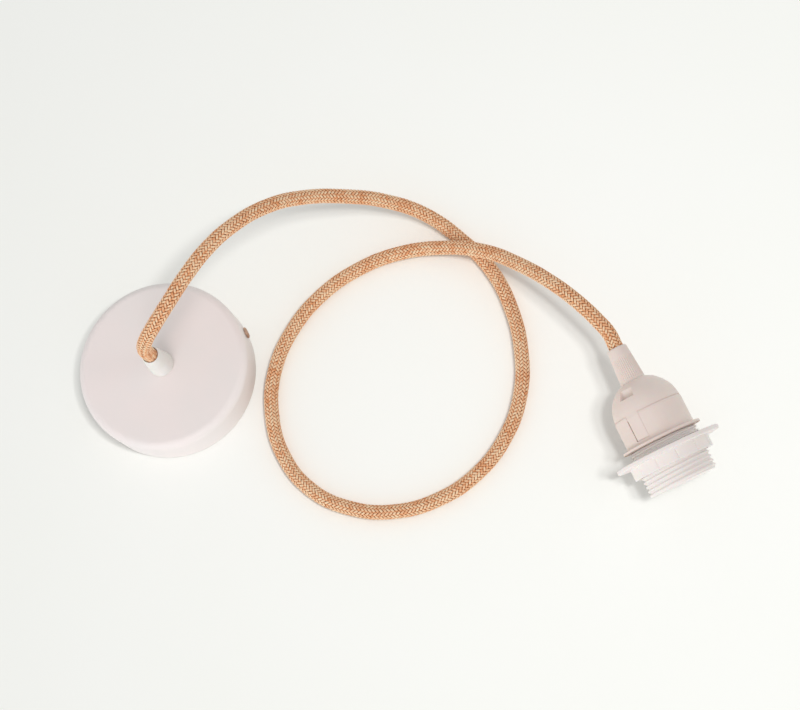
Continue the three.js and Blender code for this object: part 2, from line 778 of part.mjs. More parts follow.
// Shade ring: a wide flange and a short collar with grip marks
function shadeRing() {
  const back = -ring.thick / 2;
  const front = ring.thick / 2;
  const end = back + ring.height;
  const bore = skirtThread.crest + ringGap;
  let body = revolve([
    [bore, back],
    [ring.flange - ring.edge, back],
    [ring.flange, back + ring.edge],
    [ring.flange, front - ring.edge],
    [ring.flange - ring.edge, front],
    [ring.collar + ring.chamfer, front],
    [ring.collar, front + ring.chamfer],
    [ring.collar, end - ring.chamfer],
    [ring.collar - ring.chamfer, end],
    [bore, end],
  ], ringSegments);
  const half = ringMarks.width / 2;
  const span = [front + ringMarks.margin, end - ringMarks.margin];
  for (let i = 0; i < ringMarks.count; i += 1) {
    const cut = box([ring.collar - ringMarks.depth, ring.collar + cutOver], [-half, half], span);
    body = body.subtract(turned(cut, 0, 0, ringMarks.offset + (360 / ringMarks.count) * i));
  }
  return body;
}

// Round insulating block that carries the contacts on its front and the terminals on its back
function contactCarrier() {
  let body = cylinder(capBoreFit, carrierBack, carrierFront, capSegments);
  const half = leaf.width / 2 + gap;
  const through = [carrierBack - cutOver, carrierFront + cutOver];
  body = body.subtract(box([-half, half], [leaf.foot - gap, leaf.foot + leaf.thick + gap], through));
  body = body.subtract(box([-half, half], [-sideLeaf.at - leaf.thick - gap, -sideLeaf.at + gap], through));
  for (const side of [-1, 1]) {
    const end = carrierBack + plateScrew.depth + gap;
    const hole = cylinder(plateScrew.shank + gap, carrierBack - cutOver, end);
    body = body.subtract(moved(hole, 0, side * plateScrew.at, 0));
  }
  return body;
}

// Strip bent along a line in the Y-Z plane
function strip(line, width) {
  const offset = (sign) => line.map(([y, z], i) => {
    const before = line[Math.max(i - 1, 0)];
    const after = line[Math.min(i + 1, line.length - 1)];
    const along = new THREE.Vector2(after[0] - before[0], after[1] - before[1]).normalize();
    return [y - (sign * along.y * leaf.thick) / 2, z + (sign * along.x * leaf.thick) / 2];
  });
  const outline = [...offset(-1), ...offset(1).reverse()];
  const flat = slab(outline, -width / 2, width / 2);
  return turned(turned(flat, 90, 0, 0), 0, 0, 90);
}

function centreContact() {
  const y = leaf.foot + leaf.thick / 2;
  const face = carrierFront + gap + leaf.thick / 2;
  return strip([
    [y, carrierBack],
    [y, face - leaf.bend],
    [y - leaf.bend, face],
    [leaf.flat, face + leaf.rise],
    [-leaf.flat, face + leaf.rise],
    [-leaf.tail, face + leaf.rise / 2],
  ], leaf.width);
}

function sideContact() {
  const y = -sideLeaf.at - leaf.thick / 2;
  return strip([
    [y, carrierBack],
    [y, carrierFront + sideLeaf.straight],
    [y + sideLeaf.bow, carrierFront + (sideLeaf.height + sideLeaf.straight) / 2],
    [y + sideLeaf.tip, carrierFront + sideLeaf.height],
  ], leaf.width);
}

function terminalPlate(side) {
  const range = [side * plate.from, side * plate.to].sort((a, b) => a - b);
  const body = box([-plate.half, plate.half], range, [plateTop, plateTop + plate.thick]);
  const hole = cylinder(plateScrew.shank + gap, plateTop - cutOver, carrierBack);
  return body.subtract(moved(hole, 0, side * plateScrew.at, 0));
}

function plateScrewPiece(side) {
  const length = carrierBack + plateScrew.depth - plateTop + gap;
  const body = turned(screw(plateScrew, length), 180, 0, 0);
  return moved(body, 0, side * plateScrew.at, plateTop - gap);
}

// Flex held in the lampholder: braided through the collar, then bare sheath inside the dome
function holderTail() {
  const braidEnd = neckEnd + gap;
  return revolve([
    [0, collarTop],
    [cordRadius, collarTop],
    [cordRadius, braidEnd],
    [sheathRadius, braidEnd],
    [sheathRadius, holderTailEnd],
    [0, holderTailEnd],
  ], fineSides);
}

function holderCore(side) {
  const y = side * (plate.from + coreRadius + gap);
  const route = [
    [0, side * coreSpread, holderCoreStart],
    [0, side * coreSpread, holderCoreStart + coreDrop],
    [0, y, plateTop - coreBend],
    [0, y, plateTop - gap],
  ];
  return bar(route, coreRadius, coreSides, coreSteps);
}

// The set: rose
const pendant = new THREE.Group();
const rose = new THREE.Group();
rose.add(piece('rose_cup', roseCup(), paintedSteel));
rose.add(piece('mounting_strap', strap(), zincSteel));
const sideScrewSolid = screw(sideScrew, sideScrew.length);
for (const [name, side] of [['side_screw_right', 1], ['side_screw_left', -1]]) {
  const mesh = piece(name, sideScrewSolid, bronzeSteel);
  mesh.position.set(side * (roseRadius + gap), 0, sideScrewLevel);
  mesh.rotation.y = (side * Math.PI) / 2;
  rose.add(mesh);
}
rose.add(piece('cord_grip', cordGrip(), whiteNylon));
rose.add(piece('cord_grip_nut', gripNut(), zincSteel));
rose.add(piece('cord_grip_screw', pinchScrew(), whiteNylon));
rose.add(piece('terminal_block', terminalBlock(), clearNylon));
for (const [way, side] of [['live', 1], ['neutral', -1]]) {
  rose.add(piece(`terminal_tube_${way}`, terminalTube(side), brass));
  rose.add(piece(`terminal_screw_${way}_cord`, terminalScrewAt(-1, side), zincSteel));
  rose.add(piece(`terminal_screw_${way}_supply`, terminalScrewAt(1, side), zincSteel));
}
rose.add(piece('terminal_block_screw', blockScrewPiece(), zincSteel));
rose.add(piece('earth_tag', earthTag(), brass));
rose.add(piece('earth_screw', earthScrewPiece(), brass));
rose.add(piece('cord_tail_rose', roseTail(), braid));
rose.add(piece('core_live_rose', roseCore(1), brownCore));
rose.add(piece('core_neutral_rose', roseCore(-1), blueCore));
rose.add(piece('core_earth_rose', earthLead(), earthCore));
pendant.add(rose);

// The set: lampholder, built along its own axis and then laid down
const holder = new THREE.Group();
holder.add(piece('holder_cap', holderCap(), holderPlastic));
holder.add(piece('holder_grip_collar', gripCollar(), holderPlastic));
holder.add(piece('cord_clamp_ring', clampPiece(), clearNylon));
holder.add(piece('threaded_skirt', threadedSkirt(), holderPlastic));
holder.add(piece('shade_ring', shadeRing(), holderPlastic));
holder.add(piece('contact_carrier', contactCarrier(), carrierPlastic));
holder.add(piece('centre_contact', centreContact(), brass));
holder.add(piece('side_contact', sideContact(), brass));
for (const [way, side, look] of [['live', 1, brownCore], ['neutral', -1, blueCore]]) {
  holder.add(piece(`terminal_plate_${way}`, terminalPlate(side), brass));
  holder.add(piece(`plate_screw_${way}`, plateScrewPiece(side), zincSteel));
  holder.add(piece(`core_${way}_holder`, holderCore(side), look));
}
holder.add(piece('cord_tail_holder', holderTail(), braid));
const along = new THREE.Vector3(0, -Math.cos(rad(holderTilt)), -Math.sin(rad(holderTilt)));
const upward = new THREE.Vector3(0, -Math.sin(rad(holderTilt)), Math.cos(rad(holderTilt)));
const sideways = new THREE.Vector3().crossVectors(along, upward);
holder.quaternion.setFromRotationMatrix(new THREE.Matrix4().makeBasis(upward, sideways, along));
holder.position.set(holderX, holderY, holderZ);
pendant.add(holder);

// The set: the free flex between the two, which ends just short of the collar
const cordEnd = new THREE.Vector3(holderX, holderY, holderZ).addScaledVector(along, collarTop - gap);
const cordPoints = [...cordRoute, cordEnd.toArray()];
cordPoints[0] = [0, 0, gripTop + gap];
pendant.add(piece('cord', bar(cordPoints, cordRadius, cordSides, cordSteps), braid));

export default pendant;
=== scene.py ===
"""Looks of a pendant cord set: ceiling rose, braided flex in one open loop, and threaded lampholder."""

import json
import math

import bmesh
import bpy
from mathutils import Matrix, Quaternion, Vector


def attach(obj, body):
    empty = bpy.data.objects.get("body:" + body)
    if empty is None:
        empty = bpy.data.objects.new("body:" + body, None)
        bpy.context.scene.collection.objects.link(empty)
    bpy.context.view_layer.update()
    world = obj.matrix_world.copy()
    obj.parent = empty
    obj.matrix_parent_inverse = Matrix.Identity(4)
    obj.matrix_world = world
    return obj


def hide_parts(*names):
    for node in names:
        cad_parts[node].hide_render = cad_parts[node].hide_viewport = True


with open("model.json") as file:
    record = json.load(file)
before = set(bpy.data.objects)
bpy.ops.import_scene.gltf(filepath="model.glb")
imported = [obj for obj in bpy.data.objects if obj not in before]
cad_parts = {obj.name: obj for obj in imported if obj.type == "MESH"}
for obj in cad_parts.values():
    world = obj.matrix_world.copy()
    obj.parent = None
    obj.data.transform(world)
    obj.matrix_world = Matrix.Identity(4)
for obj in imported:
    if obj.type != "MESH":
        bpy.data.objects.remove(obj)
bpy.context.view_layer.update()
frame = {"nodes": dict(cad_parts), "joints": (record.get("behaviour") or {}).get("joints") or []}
mm = 0.001

# Camera: a 72 mm lens on a full-frame sensor looks down on the set from a little below the picture,
# rolled so that the strap of the rose lies slanting, as the screw at the rose's edge shows it.
camera_place = Vector((0.1472, -0.3179, 0.8880))
camera_target = Vector((0.12595, -0.04992, 0.0))
camera_roll = math.radians(-30.12)

camera_data = bpy.data.cameras.new("camera")
camera_data.lens = 72
camera_data.sensor_width = 36
camera = bpy.data.objects.new("camera", camera_data)
bpy.context.collection.objects.link(camera)
camera.rotation_mode = "QUATERNION"
camera.location = camera_place
looking = (camera_target - camera_place).to_track_quat("-Z", "Y")
camera.rotation_quaternion = looking @ Quaternion((0, 0, 1), camera_roll)
bpy.context.scene.camera = camera

# Flex: three cores in a rubber sheath under a jute coloured textile braid, 8.5 mm across in all.
# It stands straight up out of the grip, leans over the rose's edge, lies in one open loop on the table,
# crosses over itself and runs up into the collar of the lampholder.
braid_bed_radius = 3.3 * mm
grip_pocket_end = 33.3 * mm
collar_top = -61.83
collar_neck_end = -49.1
flex_exit = (0, 0, 47.3)
flex_route = [
    flex_exit,
    (0.0, 0.0, 56.0),
    (2.1, 0.1, 64.0),
    (6.1, 0.5, 71.0),
    (11.8, 1.7, 77.1),
    (26.5, 7.8, 85.1),
    (42.2, 17.6, 86.3),
    (57.9, 26.8, 84.5),
    (73.6, 34.0, 79.9),
    (95.6, 41.2, 67.6),
    (115.9, 43.3, 51.6),
    (136.8, 39.3, 36.6),
    (156.9, 31.5, 22.3),
    (174.9, 17.4, 10.3),
    (187.4, -4.4, 4.6),
    (195.0, -29.1, 4.4),
    (195.4, -55.0, 4.4),
    (189.7, -80.3, 4.4),
    (178.1, -103.4, 4.4),
    (160.0, -121.8, 4.4),
    (137.0, -133.6, 4.4),
    (111.4, -137.4, 4.4),
    (86.0, -132.9, 4.4),
    (63.6, -120.0, 4.4),
    (47.3, -100.1, 4.4),
    (40.9, -75.1, 4.4),
    (44.6, -49.5, 4.4),
    (56.5, -26.6, 4.4),
    (75.5, -9.0, 4.4),
    (98.7, 2.4, 4.4),
    (125.6, 7.2, 4.4),
    (151.6, 4.8, 4.8),
    (175.4, -5.1, 8.7),
    (194.8, -20.4, 17.1),
    (208.9, -39.9, 26.7),
    (220.4, -61.6, 35.5),
    (227.2, -77.3, 38.7),
    (232.9, -93.8, 39.0),
    (235.0, -102.2, 38.3),
]

# The lampholder's own axis, which the flex joins: stations are measured in millimetres from the middle
# of the shade ring's flange towards the mouth.
holder_centre = Vector((235.0, -172.5, 29.65)) * mm
holder_axis = Vector(frame["joints"][0]["axis"]).normalized()
holder_up = Vector((0, holder_axis.z, -holder_axis.y))
holder_side = holder_axis.cross(holder_up)
holder_turn = Matrix((holder_up, holder_side, holder_axis)).transposed().to_4x4()
holder_place = Matrix.Translation(holder_centre) @ holder_turn


def route_curve(name, points):
    """An open smooth curve through the points, in metres."""
    data = bpy.data.curves.new(name, "CURVE")
    data.dimensions = "3D"
    data.resolution_u = 24
    spline = data.splines.new("BEZIER")
    spline.bezier_points.add(len(points) - 1)
    for knot, point in zip(spline.bezier_points, points):
        knot.co = point
        knot.handle_left_type = "AUTO"
        knot.handle_right_type = "AUTO"
    made = bpy.data.objects.new(name, data)
    bpy.context.collection.objects.link(made)
    return made


flex_points = [Vector((0, 0, grip_pocket_end))] + [Vector(p) * mm for p in flex_route]
flex_points += [holder_place @ Vector((0, 0, z * mm)) for z in (collar_top - 0.3, -55.0, collar_neck_end)]


def put(tree, kind, inputs=None, **settings):
    """Adds a node to a tree, with its settings, and fills or links its inputs."""
    made = tree.nodes.new(kind)
    for name, value in settings.items():
        setattr(made, name, value)
    for key, value in (inputs or {}).items():
        if isinstance(value, bpy.types.NodeSocket):
            tree.links.new(value, made.inputs[key])
        else:
            made.inputs[key].default_value = value
    return made


def calc(tree, operation, *values):
    """A number worked out from others inside a node tree."""
    return put(tree, "ShaderNodeMath", dict(enumerate(values)), operation=operation).outputs[0]


def vector(tree, operation, *values):
    """A vector worked out from others inside a node tree."""
    return put(tree, "ShaderNodeVectorMath", dict(enumerate(values)), operation=operation).outputs["Vector"]


def scaled(tree, direction, length):
    """A direction times a length inside a node tree."""
    made = put(tree, "ShaderNodeVectorMath", {0: direction, "Scale": length}, operation="SCALE")
    return made.outputs["Vector"]


def ranged(tree, value, low, high, new_low=0.0, new_high=1.0):
    """A value taken from one range to another, held inside it."""
    inputs = {0: value, 1: low, 2: high, 3: new_low, 4: new_high}
    return put(tree, "ShaderNodeMapRange", inputs).outputs[0]


def kept(tree, geometry, name, value):
    """Keeps a number on each point of a geometry under a name that a material can read."""
    inputs = {"Geometry": geometry, "Name": name, "Value": value}
    made = put(tree, "GeometryNodeStoreNamedAttribute", inputs, data_type="FLOAT", domain="POINT")
    return made.outputs["Geometry"]


def named(tree, name):
    """A number that was kept on the points of a geometry."""
    return put(tree, "GeometryNodeInputNamedAttribute", {"Name": name}).outputs[0]


def new_tree(name, inputs):
    """A geometry node tree with named inputs, its group input node and its output node."""
    tree = bpy.data.node_groups.new(name, "GeometryNodeTree")
    tree.interface.new_socket("Geometry", in_out="INPUT", socket_type="NodeSocketGeometry")
    for label, kind in inputs.items():
        tree.interface.new_socket(label, in_out="INPUT", socket_type="NodeSocket" + kind)
    tree.interface.new_socket("Geometry", in_out="OUTPUT", socket_type="NodeSocketGeometry")
    return tree, tree.nodes.new("NodeGroupInput"), tree.nodes.new("NodeGroupOutput")


def close_tree(tree, geometry, material, out):
    """Ends a geometry node tree: realised, with its material set."""
    geometry = put(tree, "GeometryNodeRealizeInstances", {"Geometry": geometry}).outputs[0]
    geometry = put(tree, "GeometryNodeSetMaterial", {"Geometry": geometry, "Material": material}).outputs[0]
    tree.links.new(geometry, out.inputs[0])


def mesh_object(name, mesh):
    """A plain mesh object in the scene, at the origin."""
    mesh.name = name
    made = bpy.data.objects.new(name, mesh)
    bpy.context.collection.objects.link(made)
    return made


def bake_nodes(source, tree, values, name):
    """Runs a geometry node tree on an object, which it then removes, and gives the result as a plain mesh."""
    modifier = source.modifiers.new(tree.name, "NODES")
    modifier.node_group = tree
    for item in tree.interface.items_tree:
        if item.in_out == "INPUT" and item.name in values:
            modifier[item.identifier] = values[item.name]
    shown = source.evaluated_get(bpy.context.evaluated_depsgraph_get())
    mesh = bpy.data.meshes.new_from_object(shown)
    bpy.data.objects.remove(source)
    return mesh_object(name, mesh)


def braid_tree():
    """Strands of one hand of a braid that goes over two and under two, wound round the curve it gets."""
    tree, given, out = new_tree("braid strands", {
        "Carriers": "Int", "Hand": "Float", "Lay": "Float", "Radius": "Float", "Wave": "Float",
        "Yarn Width": "Float", "Yarn Thickness": "Float", "Slack": "Float", "Steps": "Int",
        "Yarn": "Material",
    })
    socket = given.outputs
    steepness = 1.9
    wander_per_metre = 260.0
    strand_step = 7.3
    hand_step = 9.1
    wander_round = 3.0
    length = put(tree, "GeometryNodeCurveLength", {0: socket["Geometry"]}).outputs[0]
    line = put(tree, "GeometryNodeCurvePrimitiveLine", {"End": (1, 0, 0)}).outputs[0]
    line = put(tree, "GeometryNodeResampleCurve", {"Curve": line, "Count": socket["Steps"]}).outputs[0]
    repeated = {"Geometry": line, "Amount": socket["Carriers"]}
    copies = put(tree, "GeometryNodeDuplicateElements", repeated, domain="SPLINE")
    share = put(tree, "GeometryNodeSplineParameter").outputs["Factor"]
    strands = kept(tree, copies.outputs[0], "along", share)
    strands = kept(tree, strands, "carrier", copies.outputs[1])
    along = named(tree, "along")
    carrier = named(tree, "carrier")

    turns = calc(tree, "DIVIDE", calc(tree, "MULTIPLY", along, length), socket["Lay"])
    turns = calc(tree, "MULTIPLY", turns, socket["Hand"])
    angle = calc(tree, "ADD", calc(tree, "DIVIDE", carrier, socket["Carriers"]), turns)
    angle = calc(tree, "MULTIPLY", angle, math.tau)
    crossings = calc(tree, "MULTIPLY", calc(tree, "MULTIPLY", turns, socket["Carriers"]), 2)
    crossings = calc(tree, "ADD", crossings, calc(tree, "MULTIPLY", carrier, 2))
    wave = calc(tree, "COSINE", calc(tree, "MULTIPLY", calc(tree, "SUBTRACT", crossings, 0.5), math.pi / 2))
    over = calc(tree, "TANH", calc(tree, "MULTIPLY", calc(tree, "MULTIPLY", wave, steepness), socket["Hand"]))

    # Hand-laid look: each strand wanders a little across and out of its place
    place_along = calc(tree, "MULTIPLY", calc(tree, "MULTIPLY", along, length), wander_per_metre)
    seed = put(tree, "ShaderNodeCombineXYZ", {
        0: place_along,
        1: calc(tree, "MULTIPLY", carrier, strand_step),
        2: calc(tree, "MULTIPLY", socket["Hand"], hand_step),
    }).outputs[0]
    wander = put(tree, "ShaderNodeTexNoise", {"Vector": seed, "Scale": 1.0, "Detail": 1.0})
    drift = vector(tree, "SUBTRACT", wander.outputs["Color"], (0.5, 0.5, 0.5))
    parts = put(tree, "ShaderNodeSeparateXYZ", {0: drift})
    slack_out = calc(tree, "MULTIPLY", parts.outputs[0], socket["Slack"])
    slack_angle = calc(tree, "DIVIDE", socket["Slack"], socket["Radius"])
    slack_round = calc(tree, "MULTIPLY", parts.outputs[1], slack_angle)
    angle = calc(tree, "ADD", angle, calc(tree, "MULTIPLY", slack_round, wander_round))
    radius = calc(tree, "ADD", socket["Radius"], calc(tree, "MULTIPLY", over, socket["Wave"]))
    radius = calc(tree, "ADD", radius, slack_out)

    route = {"Curves": socket["Geometry"], "Factor": along}
    sample = put(tree, "GeometryNodeSampleCurve", route, mode="FACTOR")
    normal = sample.outputs["Normal"]
    side = vector(tree, "CROSS_PRODUCT", sample.outputs["Tangent"], normal)
    outward = vector(
        tree, "ADD",
        scaled(tree, normal, calc(tree, "COSINE", angle)),
        scaled(tree, side, calc(tree, "SINE", angle)),
    )
    place = vector(tree, "ADD", sample.outputs["Position"], scaled(tree, outward, radius))
    strands = kept(tree, strands, "over", over)
    strands = put(tree, "GeometryNodeSetPosition", {"Geometry": strands, "Position": place}).outputs[0]
    turned = {"Curve": strands, "Normal": outward}
    strands = put(tree, "GeometryNodeSetCurveNormal", turned, mode="FREE").outputs[0]

    ring = put(tree, "GeometryNodeCurvePrimitiveCircle", {"Resolution": 5}).outputs[0]
    ring = kept(tree, ring, "across", put(tree, "GeometryNodeSplineParameter").outputs["Factor"])
    half_thick = calc(tree, "DIVIDE", socket["Yarn Thickness"], 2)
    half_width = calc(tree, "DIVIDE", socket["Yarn Width"], 2)
    size = put(tree, "ShaderNodeCombineXYZ", {0: half_thick, 1: half_width, 2: 1}).outputs[0]
    ring = put(tree, "GeometryNodeTransform", {"Geometry": ring, "Rotation": (0, 0, math.pi)}).outputs[0]
    ring = put(tree, "GeometryNodeTransform", {"Geometry": ring, "Scale": size}).outputs[0]
    swept = {"Curve": strands, "Profile Curve": ring, "Fill Caps": True}
    tube = put(tree, "GeometryNodeCurveToMesh", swept).outputs[0]
    tube = put(tree, "GeometryNodeSetShadeSmooth", {"Geometry": tube}).outputs[0]
    close_tree(tree, tube, socket["Yarn"], out)
    return tree


def principled(name, **values):
    """A material with a Principled shader; values are set on the shader's own sockets."""
    made = bpy.data.materials.new(name)
    made.use_nodes = True
    shader = made.node_tree.nodes["Principled BSDF"]
    for key, value in values.items():
        shader.inputs[key.replace("_", " ")].default_value = value
    return made, made.node_tree, shader


def mix_colour(tree, share, first, second):
    """A colour between two others inside a material."""
    return put(tree, "ShaderNodeMix", {0: share, 6: first, 7: second}, data_type="RGBA").outputs[2]


def srgb(red, green, blue):
    """A colour given as it looks on a screen, 0 to 255, as the linear values that a shader takes."""
    linear = []
    for value in (red, green, blue):
        share = value / 255
        linear.append(share / 12.92 if share <= 0.04045 else ((share + 0.055) / 1.055) ** 2.4)
    return (*linear, 1)


def yarn_material():
    """Twisted jute coloured yarn with painted shade where it dives under the next strand, on its sides and
    between its plies, a painted highlight where it rides over, and tone uneven from strand to strand.
    """
    made, tree, shader = principled("jute_yarn", Roughness=0.85, Sheen_Weight=0.15, Sheen_Roughness=0.5)
    specks_along = 420.0
    plies_along = 5200.0
    # Painted shade for the gaps, the yarn's own colour, and a painted highlight for the crowns
    jute_painted_shade = srgb(118, 59, 17)
    mid_jute = srgb(238, 160, 103)
    jute_painted_highlight = srgb(255, 224, 185)
    over = put(tree, "ShaderNodeAttribute", attribute_name="over").outputs["Fac"]
    across = put(tree, "ShaderNodeAttribute", attribute_name="across").outputs["Fac"]
    along = put(tree, "ShaderNodeAttribute", attribute_name="along").outputs["Fac"]
    carrier = put(tree, "ShaderNodeAttribute", attribute_name="carrier").outputs["Fac"]
    edge = calc(tree, "ABSOLUTE", calc(tree, "SUBTRACT", calc(tree, "MULTIPLY", across, 2), 1))
    middle = calc(tree, "SUBTRACT", 1.0, edge)
    ends = calc(tree, "ABSOLUTE", calc(tree, "SINE", calc(tree, "MULTIPLY", across, 4 * math.tau)))
    stretched = calc(tree, "MULTIPLY", along, specks_along)
    position = put(tree, "ShaderNodeCombineXYZ", {0: stretched, 1: across, 2: carrier}).outputs[0]
    speckle = put(tree, "ShaderNodeTexNoise", {"Vector": position, "Scale": 1.3, "Detail": 3})
    patch = put(tree, "ShaderNodeTexNoise", {"Vector": position, "Scale": 0.22, "Detail": 1})
    # Painted light: darker where the strand dives under the next one, on its sides and in the creases between
    # its plies, paler where it rides over; the speckle and patches are the yarn's own uneven tone
    painted_light_and_tone = ranged(tree, over, -0.75, 0.8)
    painted_light_and_tone = calc(tree, "MULTIPLY", painted_light_and_tone, ranged(tree, middle, 0.1, 0.8, 0.42, 1.0))
    painted_light_and_tone = calc(tree, "MULTIPLY", painted_light_and_tone, ranged(tree, ends, 0.0, 0.7, 0.8, 1.05))
    painted_light_and_tone = calc(tree, "MULTIPLY", painted_light_and_tone, ranged(tree, speckle.outputs["Fac"], 0.3, 0.7, 0.6, 1.2))
    painted_light_and_tone = calc(tree, "MULTIPLY", painted_light_and_tone, ranged(tree, patch.outputs["Fac"], 0.3, 0.7, 0.8, 1.15))
    colour = mix_colour(tree, ranged(tree, painted_light_and_tone, 0.0, 0.5), jute_painted_shade, mid_jute)
    colour = mix_colour(tree, ranged(tree, painted_light_and_tone, 0.5, 0.95), colour, jute_painted_highlight)
    tree.links.new(colour, shader.inputs["Base Color"])
    twist_along = calc(tree, "MULTIPLY", along, plies_along)
    twist_round = calc(tree, "MULTIPLY", across, 3 * math.tau)
    height = calc(tree, "SINE", calc(tree, "ADD", twist_along, twist_round))
    bump = put(tree, "ShaderNodeBump", {"Height": height, "Strength": 0.35, "Distance": 0.1 * mm})
    tree.links.new(bump.outputs[0], shader.inputs["Normal"])
    return made


yarn = yarn_material()
strands = braid_tree()
braid_values = {
    "Carriers": 12, "Lay": 26.0 * mm, "Radius": 3.66 * mm, "Wave": 0.32 * mm,
    "Yarn Width": 1.4 * mm, "Yarn Thickness": 0.5 * mm, "Slack": 0.16 * mm, "Steps": 1580, "Yarn": yarn,
}
for name, hand in (("flex_braid_right_hand", 1.0), ("flex_braid_left_hand", -1.0)):
    path = route_curve(name + "_path", flex_points)
    braid = bake_nodes(path, strands, {**braid_values, "Hand": hand}, name)
    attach(braid, "cord_set")

# The bed under the braid is coloured dark brown as painted shade, and shows between the strands as dark
# specks
bed_painted_shade, bed_tree, bed_shader = principled("braid_bed")
bed_place = put(bed_tree, "ShaderNodeTexCoord").outputs["Object"]
fibre_inputs = {"Vector": bed_place, "Scale": 1200.0, "Detail": 3}
fibres = put(bed_tree, "ShaderNodeTexNoise", fibre_inputs).outputs["Fac"]
painted_gap_shade = mix_colour(bed_tree, ranged(bed_tree, fibres, 0.3, 0.7), srgb(112, 66, 32), srgb(92, 52, 24))
bed_bump = put(bed_tree, "ShaderNodeBump", {"Height": fibres, "Strength": 0.4, "Distance": 0.05 * mm})
bed_tree.links.new(painted_gap_shade, bed_shader.inputs["Base Color"])
bed_tree.links.new(ranged(bed_tree, fibres, 0.3, 0.7, 0.8, 0.95), bed_shader.inputs["Roughness"])
bed_tree.links.new(bed_bump.outputs[0], bed_shader.inputs["Normal"])
bed = route_curve("flex_braid_bed", flex_points)
bed.data.bevel_depth = braid_bed_radius
bed.data.bevel_resolution = 3
bed.data.use_fill_caps = True
bed.data.materials.append(bed_painted_shade)
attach(bed, "cord_set")
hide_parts("cord")


# Finishes that several pieces share: moulded or painted skin with a faint grain and slow cloudiness, and
# rolled, turned or plated metal with fine streaks.
def shader_group(name, inputs, outputs):
    """A group of shader nodes with named numbers in and out, its input node and its output node."""
    tree = bpy.data.node_groups.new(name, "ShaderNodeTree")
    for label in inputs:
        tree.interface.new_socket(label, in_out="INPUT", socket_type="NodeSocketFloat")
    for label in outputs:
        tree.interface.new_socket(label, in_out="OUTPUT", socket_type="NodeSocketFloat")
    return tree, tree.nodes.new("NodeGroupInput"), tree.nodes.new("NodeGroupOutput")


def moulded_skin_group():
    """Fine grain and slow cloudiness of a moulded or powder coated surface."""
    tree, given, out = shader_group("moulded skin", ("Grain", "Cloud"), ("Height", "Tone"))
    place = put(tree, "ShaderNodeTexCoord").outputs["Object"]
    grain = put(tree, "ShaderNodeTexNoise", {"Vector": place, "Scale": given.outputs["Grain"], "Detail": 4})
    cloud = put(tree, "ShaderNodeTexNoise", {"Vector": place, "Scale": given.outputs["Cloud"], "Detail": 3})
    tree.links.new(grain.outputs["Fac"], out.inputs["Height"])
    tree.links.new(ranged(tree, cloud.outputs["Fac"], 0.3, 0.7), out.inputs["Tone"])
    return tree


def metal_streaks_group():
    """Fine streaks and slow blotches of plated or rolled metal."""
    tree, given, out = shader_group("metal streaks", ("Fineness", "Blotch"), ("Height", "Tone"))
    place = put(tree, "ShaderNodeTexCoord").outputs["Object"]
    drawn = vector(tree, "MULTIPLY", place, (1.0, 0.08, 1.0))
    fineness = given.outputs["Fineness"]
    streak = put(tree, "ShaderNodeTexNoise", {"Vector": drawn, "Scale": fineness, "Detail": 5})
    blotch = put(tree, "ShaderNodeTexNoise", {"Vector": place, "Scale": given.outputs["Blotch"], "Detail": 3})
    tree.links.new(streak.outputs["Fac"], out.inputs["Height"])
    tree.links.new(ranged(tree, blotch.outputs["Fac"], 0.3, 0.7), out.inputs["Tone"])
    return tree


moulded_skin = moulded_skin_group()
metal_streaks = metal_streaks_group()


def finish_material(name, group, sizes, first, second, rough, depth, **values):
    """A material whose colour, roughness and bump come from one of the shared groups."""
    made, tree, shader = principled(name, **values)
    effect = put(tree, "ShaderNodeGroup", node_tree=group)
    for socket, size in zip(effect.inputs, sizes):
        socket.default_value = size
    tone = effect.outputs["Tone"]
    tree.links.new(mix_colour(tree, tone, first, second), shader.inputs["Base Color"])
    tree.links.new(ranged(tree, tone, 0.0, 1.0, *rough), shader.inputs["Roughness"])
    inputs = {"Height": effect.outputs["Height"], "Strength": 0.5, "Distance": depth * mm}
    tree.links.new(put(tree, "ShaderNodeBump", inputs).outputs[0], shader.inputs["Normal"])
    return made


zinc = finish_material(
    "zinc_plate", metal_streaks, (900, 60), srgb(206, 208, 209), srgb(180, 184, 188), (0.28, 0.42), 0.03,
    Metallic=1.0,
)
brass = finish_material(
    "brass", metal_streaks, (1100, 80), srgb(214, 178, 104), srgb(186, 146, 78), (0.25, 0.4), 0.02,
    Metallic=1.0,
)
bronze = finish_material(
    "bronze_plate", metal_streaks, (700, 160), srgb(232, 200, 178), srgb(190, 152, 128), (0.35, 0.5), 0.03,
    Metallic=0.6,
)
nylon = finish_material(
    "white_nylon", moulded_skin, (900, 90), srgb(246, 245, 241), srgb(238, 236, 230), (0.42, 0.52), 0.03,
    Subsurface_Weight=0.06, Subsurface_Scale=0.002,
)
clear_nylon = finish_material(
    "clear_nylon", moulded_skin, (700, 80), srgb(228, 226, 218), srgb(216, 213, 204), (0.35, 0.45), 0.03,
    Subsurface_Weight=0.15, Subsurface_Scale=0.003,
)
sheath_rubber = finish_material(
    "sheath_rubber", moulded_skin, (600, 120), srgb(214, 210, 203), srgb(200, 195, 187), (0.55, 0.7), 0.05,
)


def arc(centre, radius, start, end, steps):
    """Points of an arc of a circle, or of an ellipse where two radii are given, angles in degrees."""
    across, along = radius if isinstance(radius, tuple) else (radius, radius)
    angles = [math.radians(start + (end - start) * i / steps) for i in range(steps + 1)]
    return [(centre[0] + across * math.cos(a), centre[1] + along * math.sin(a)) for a in angles]


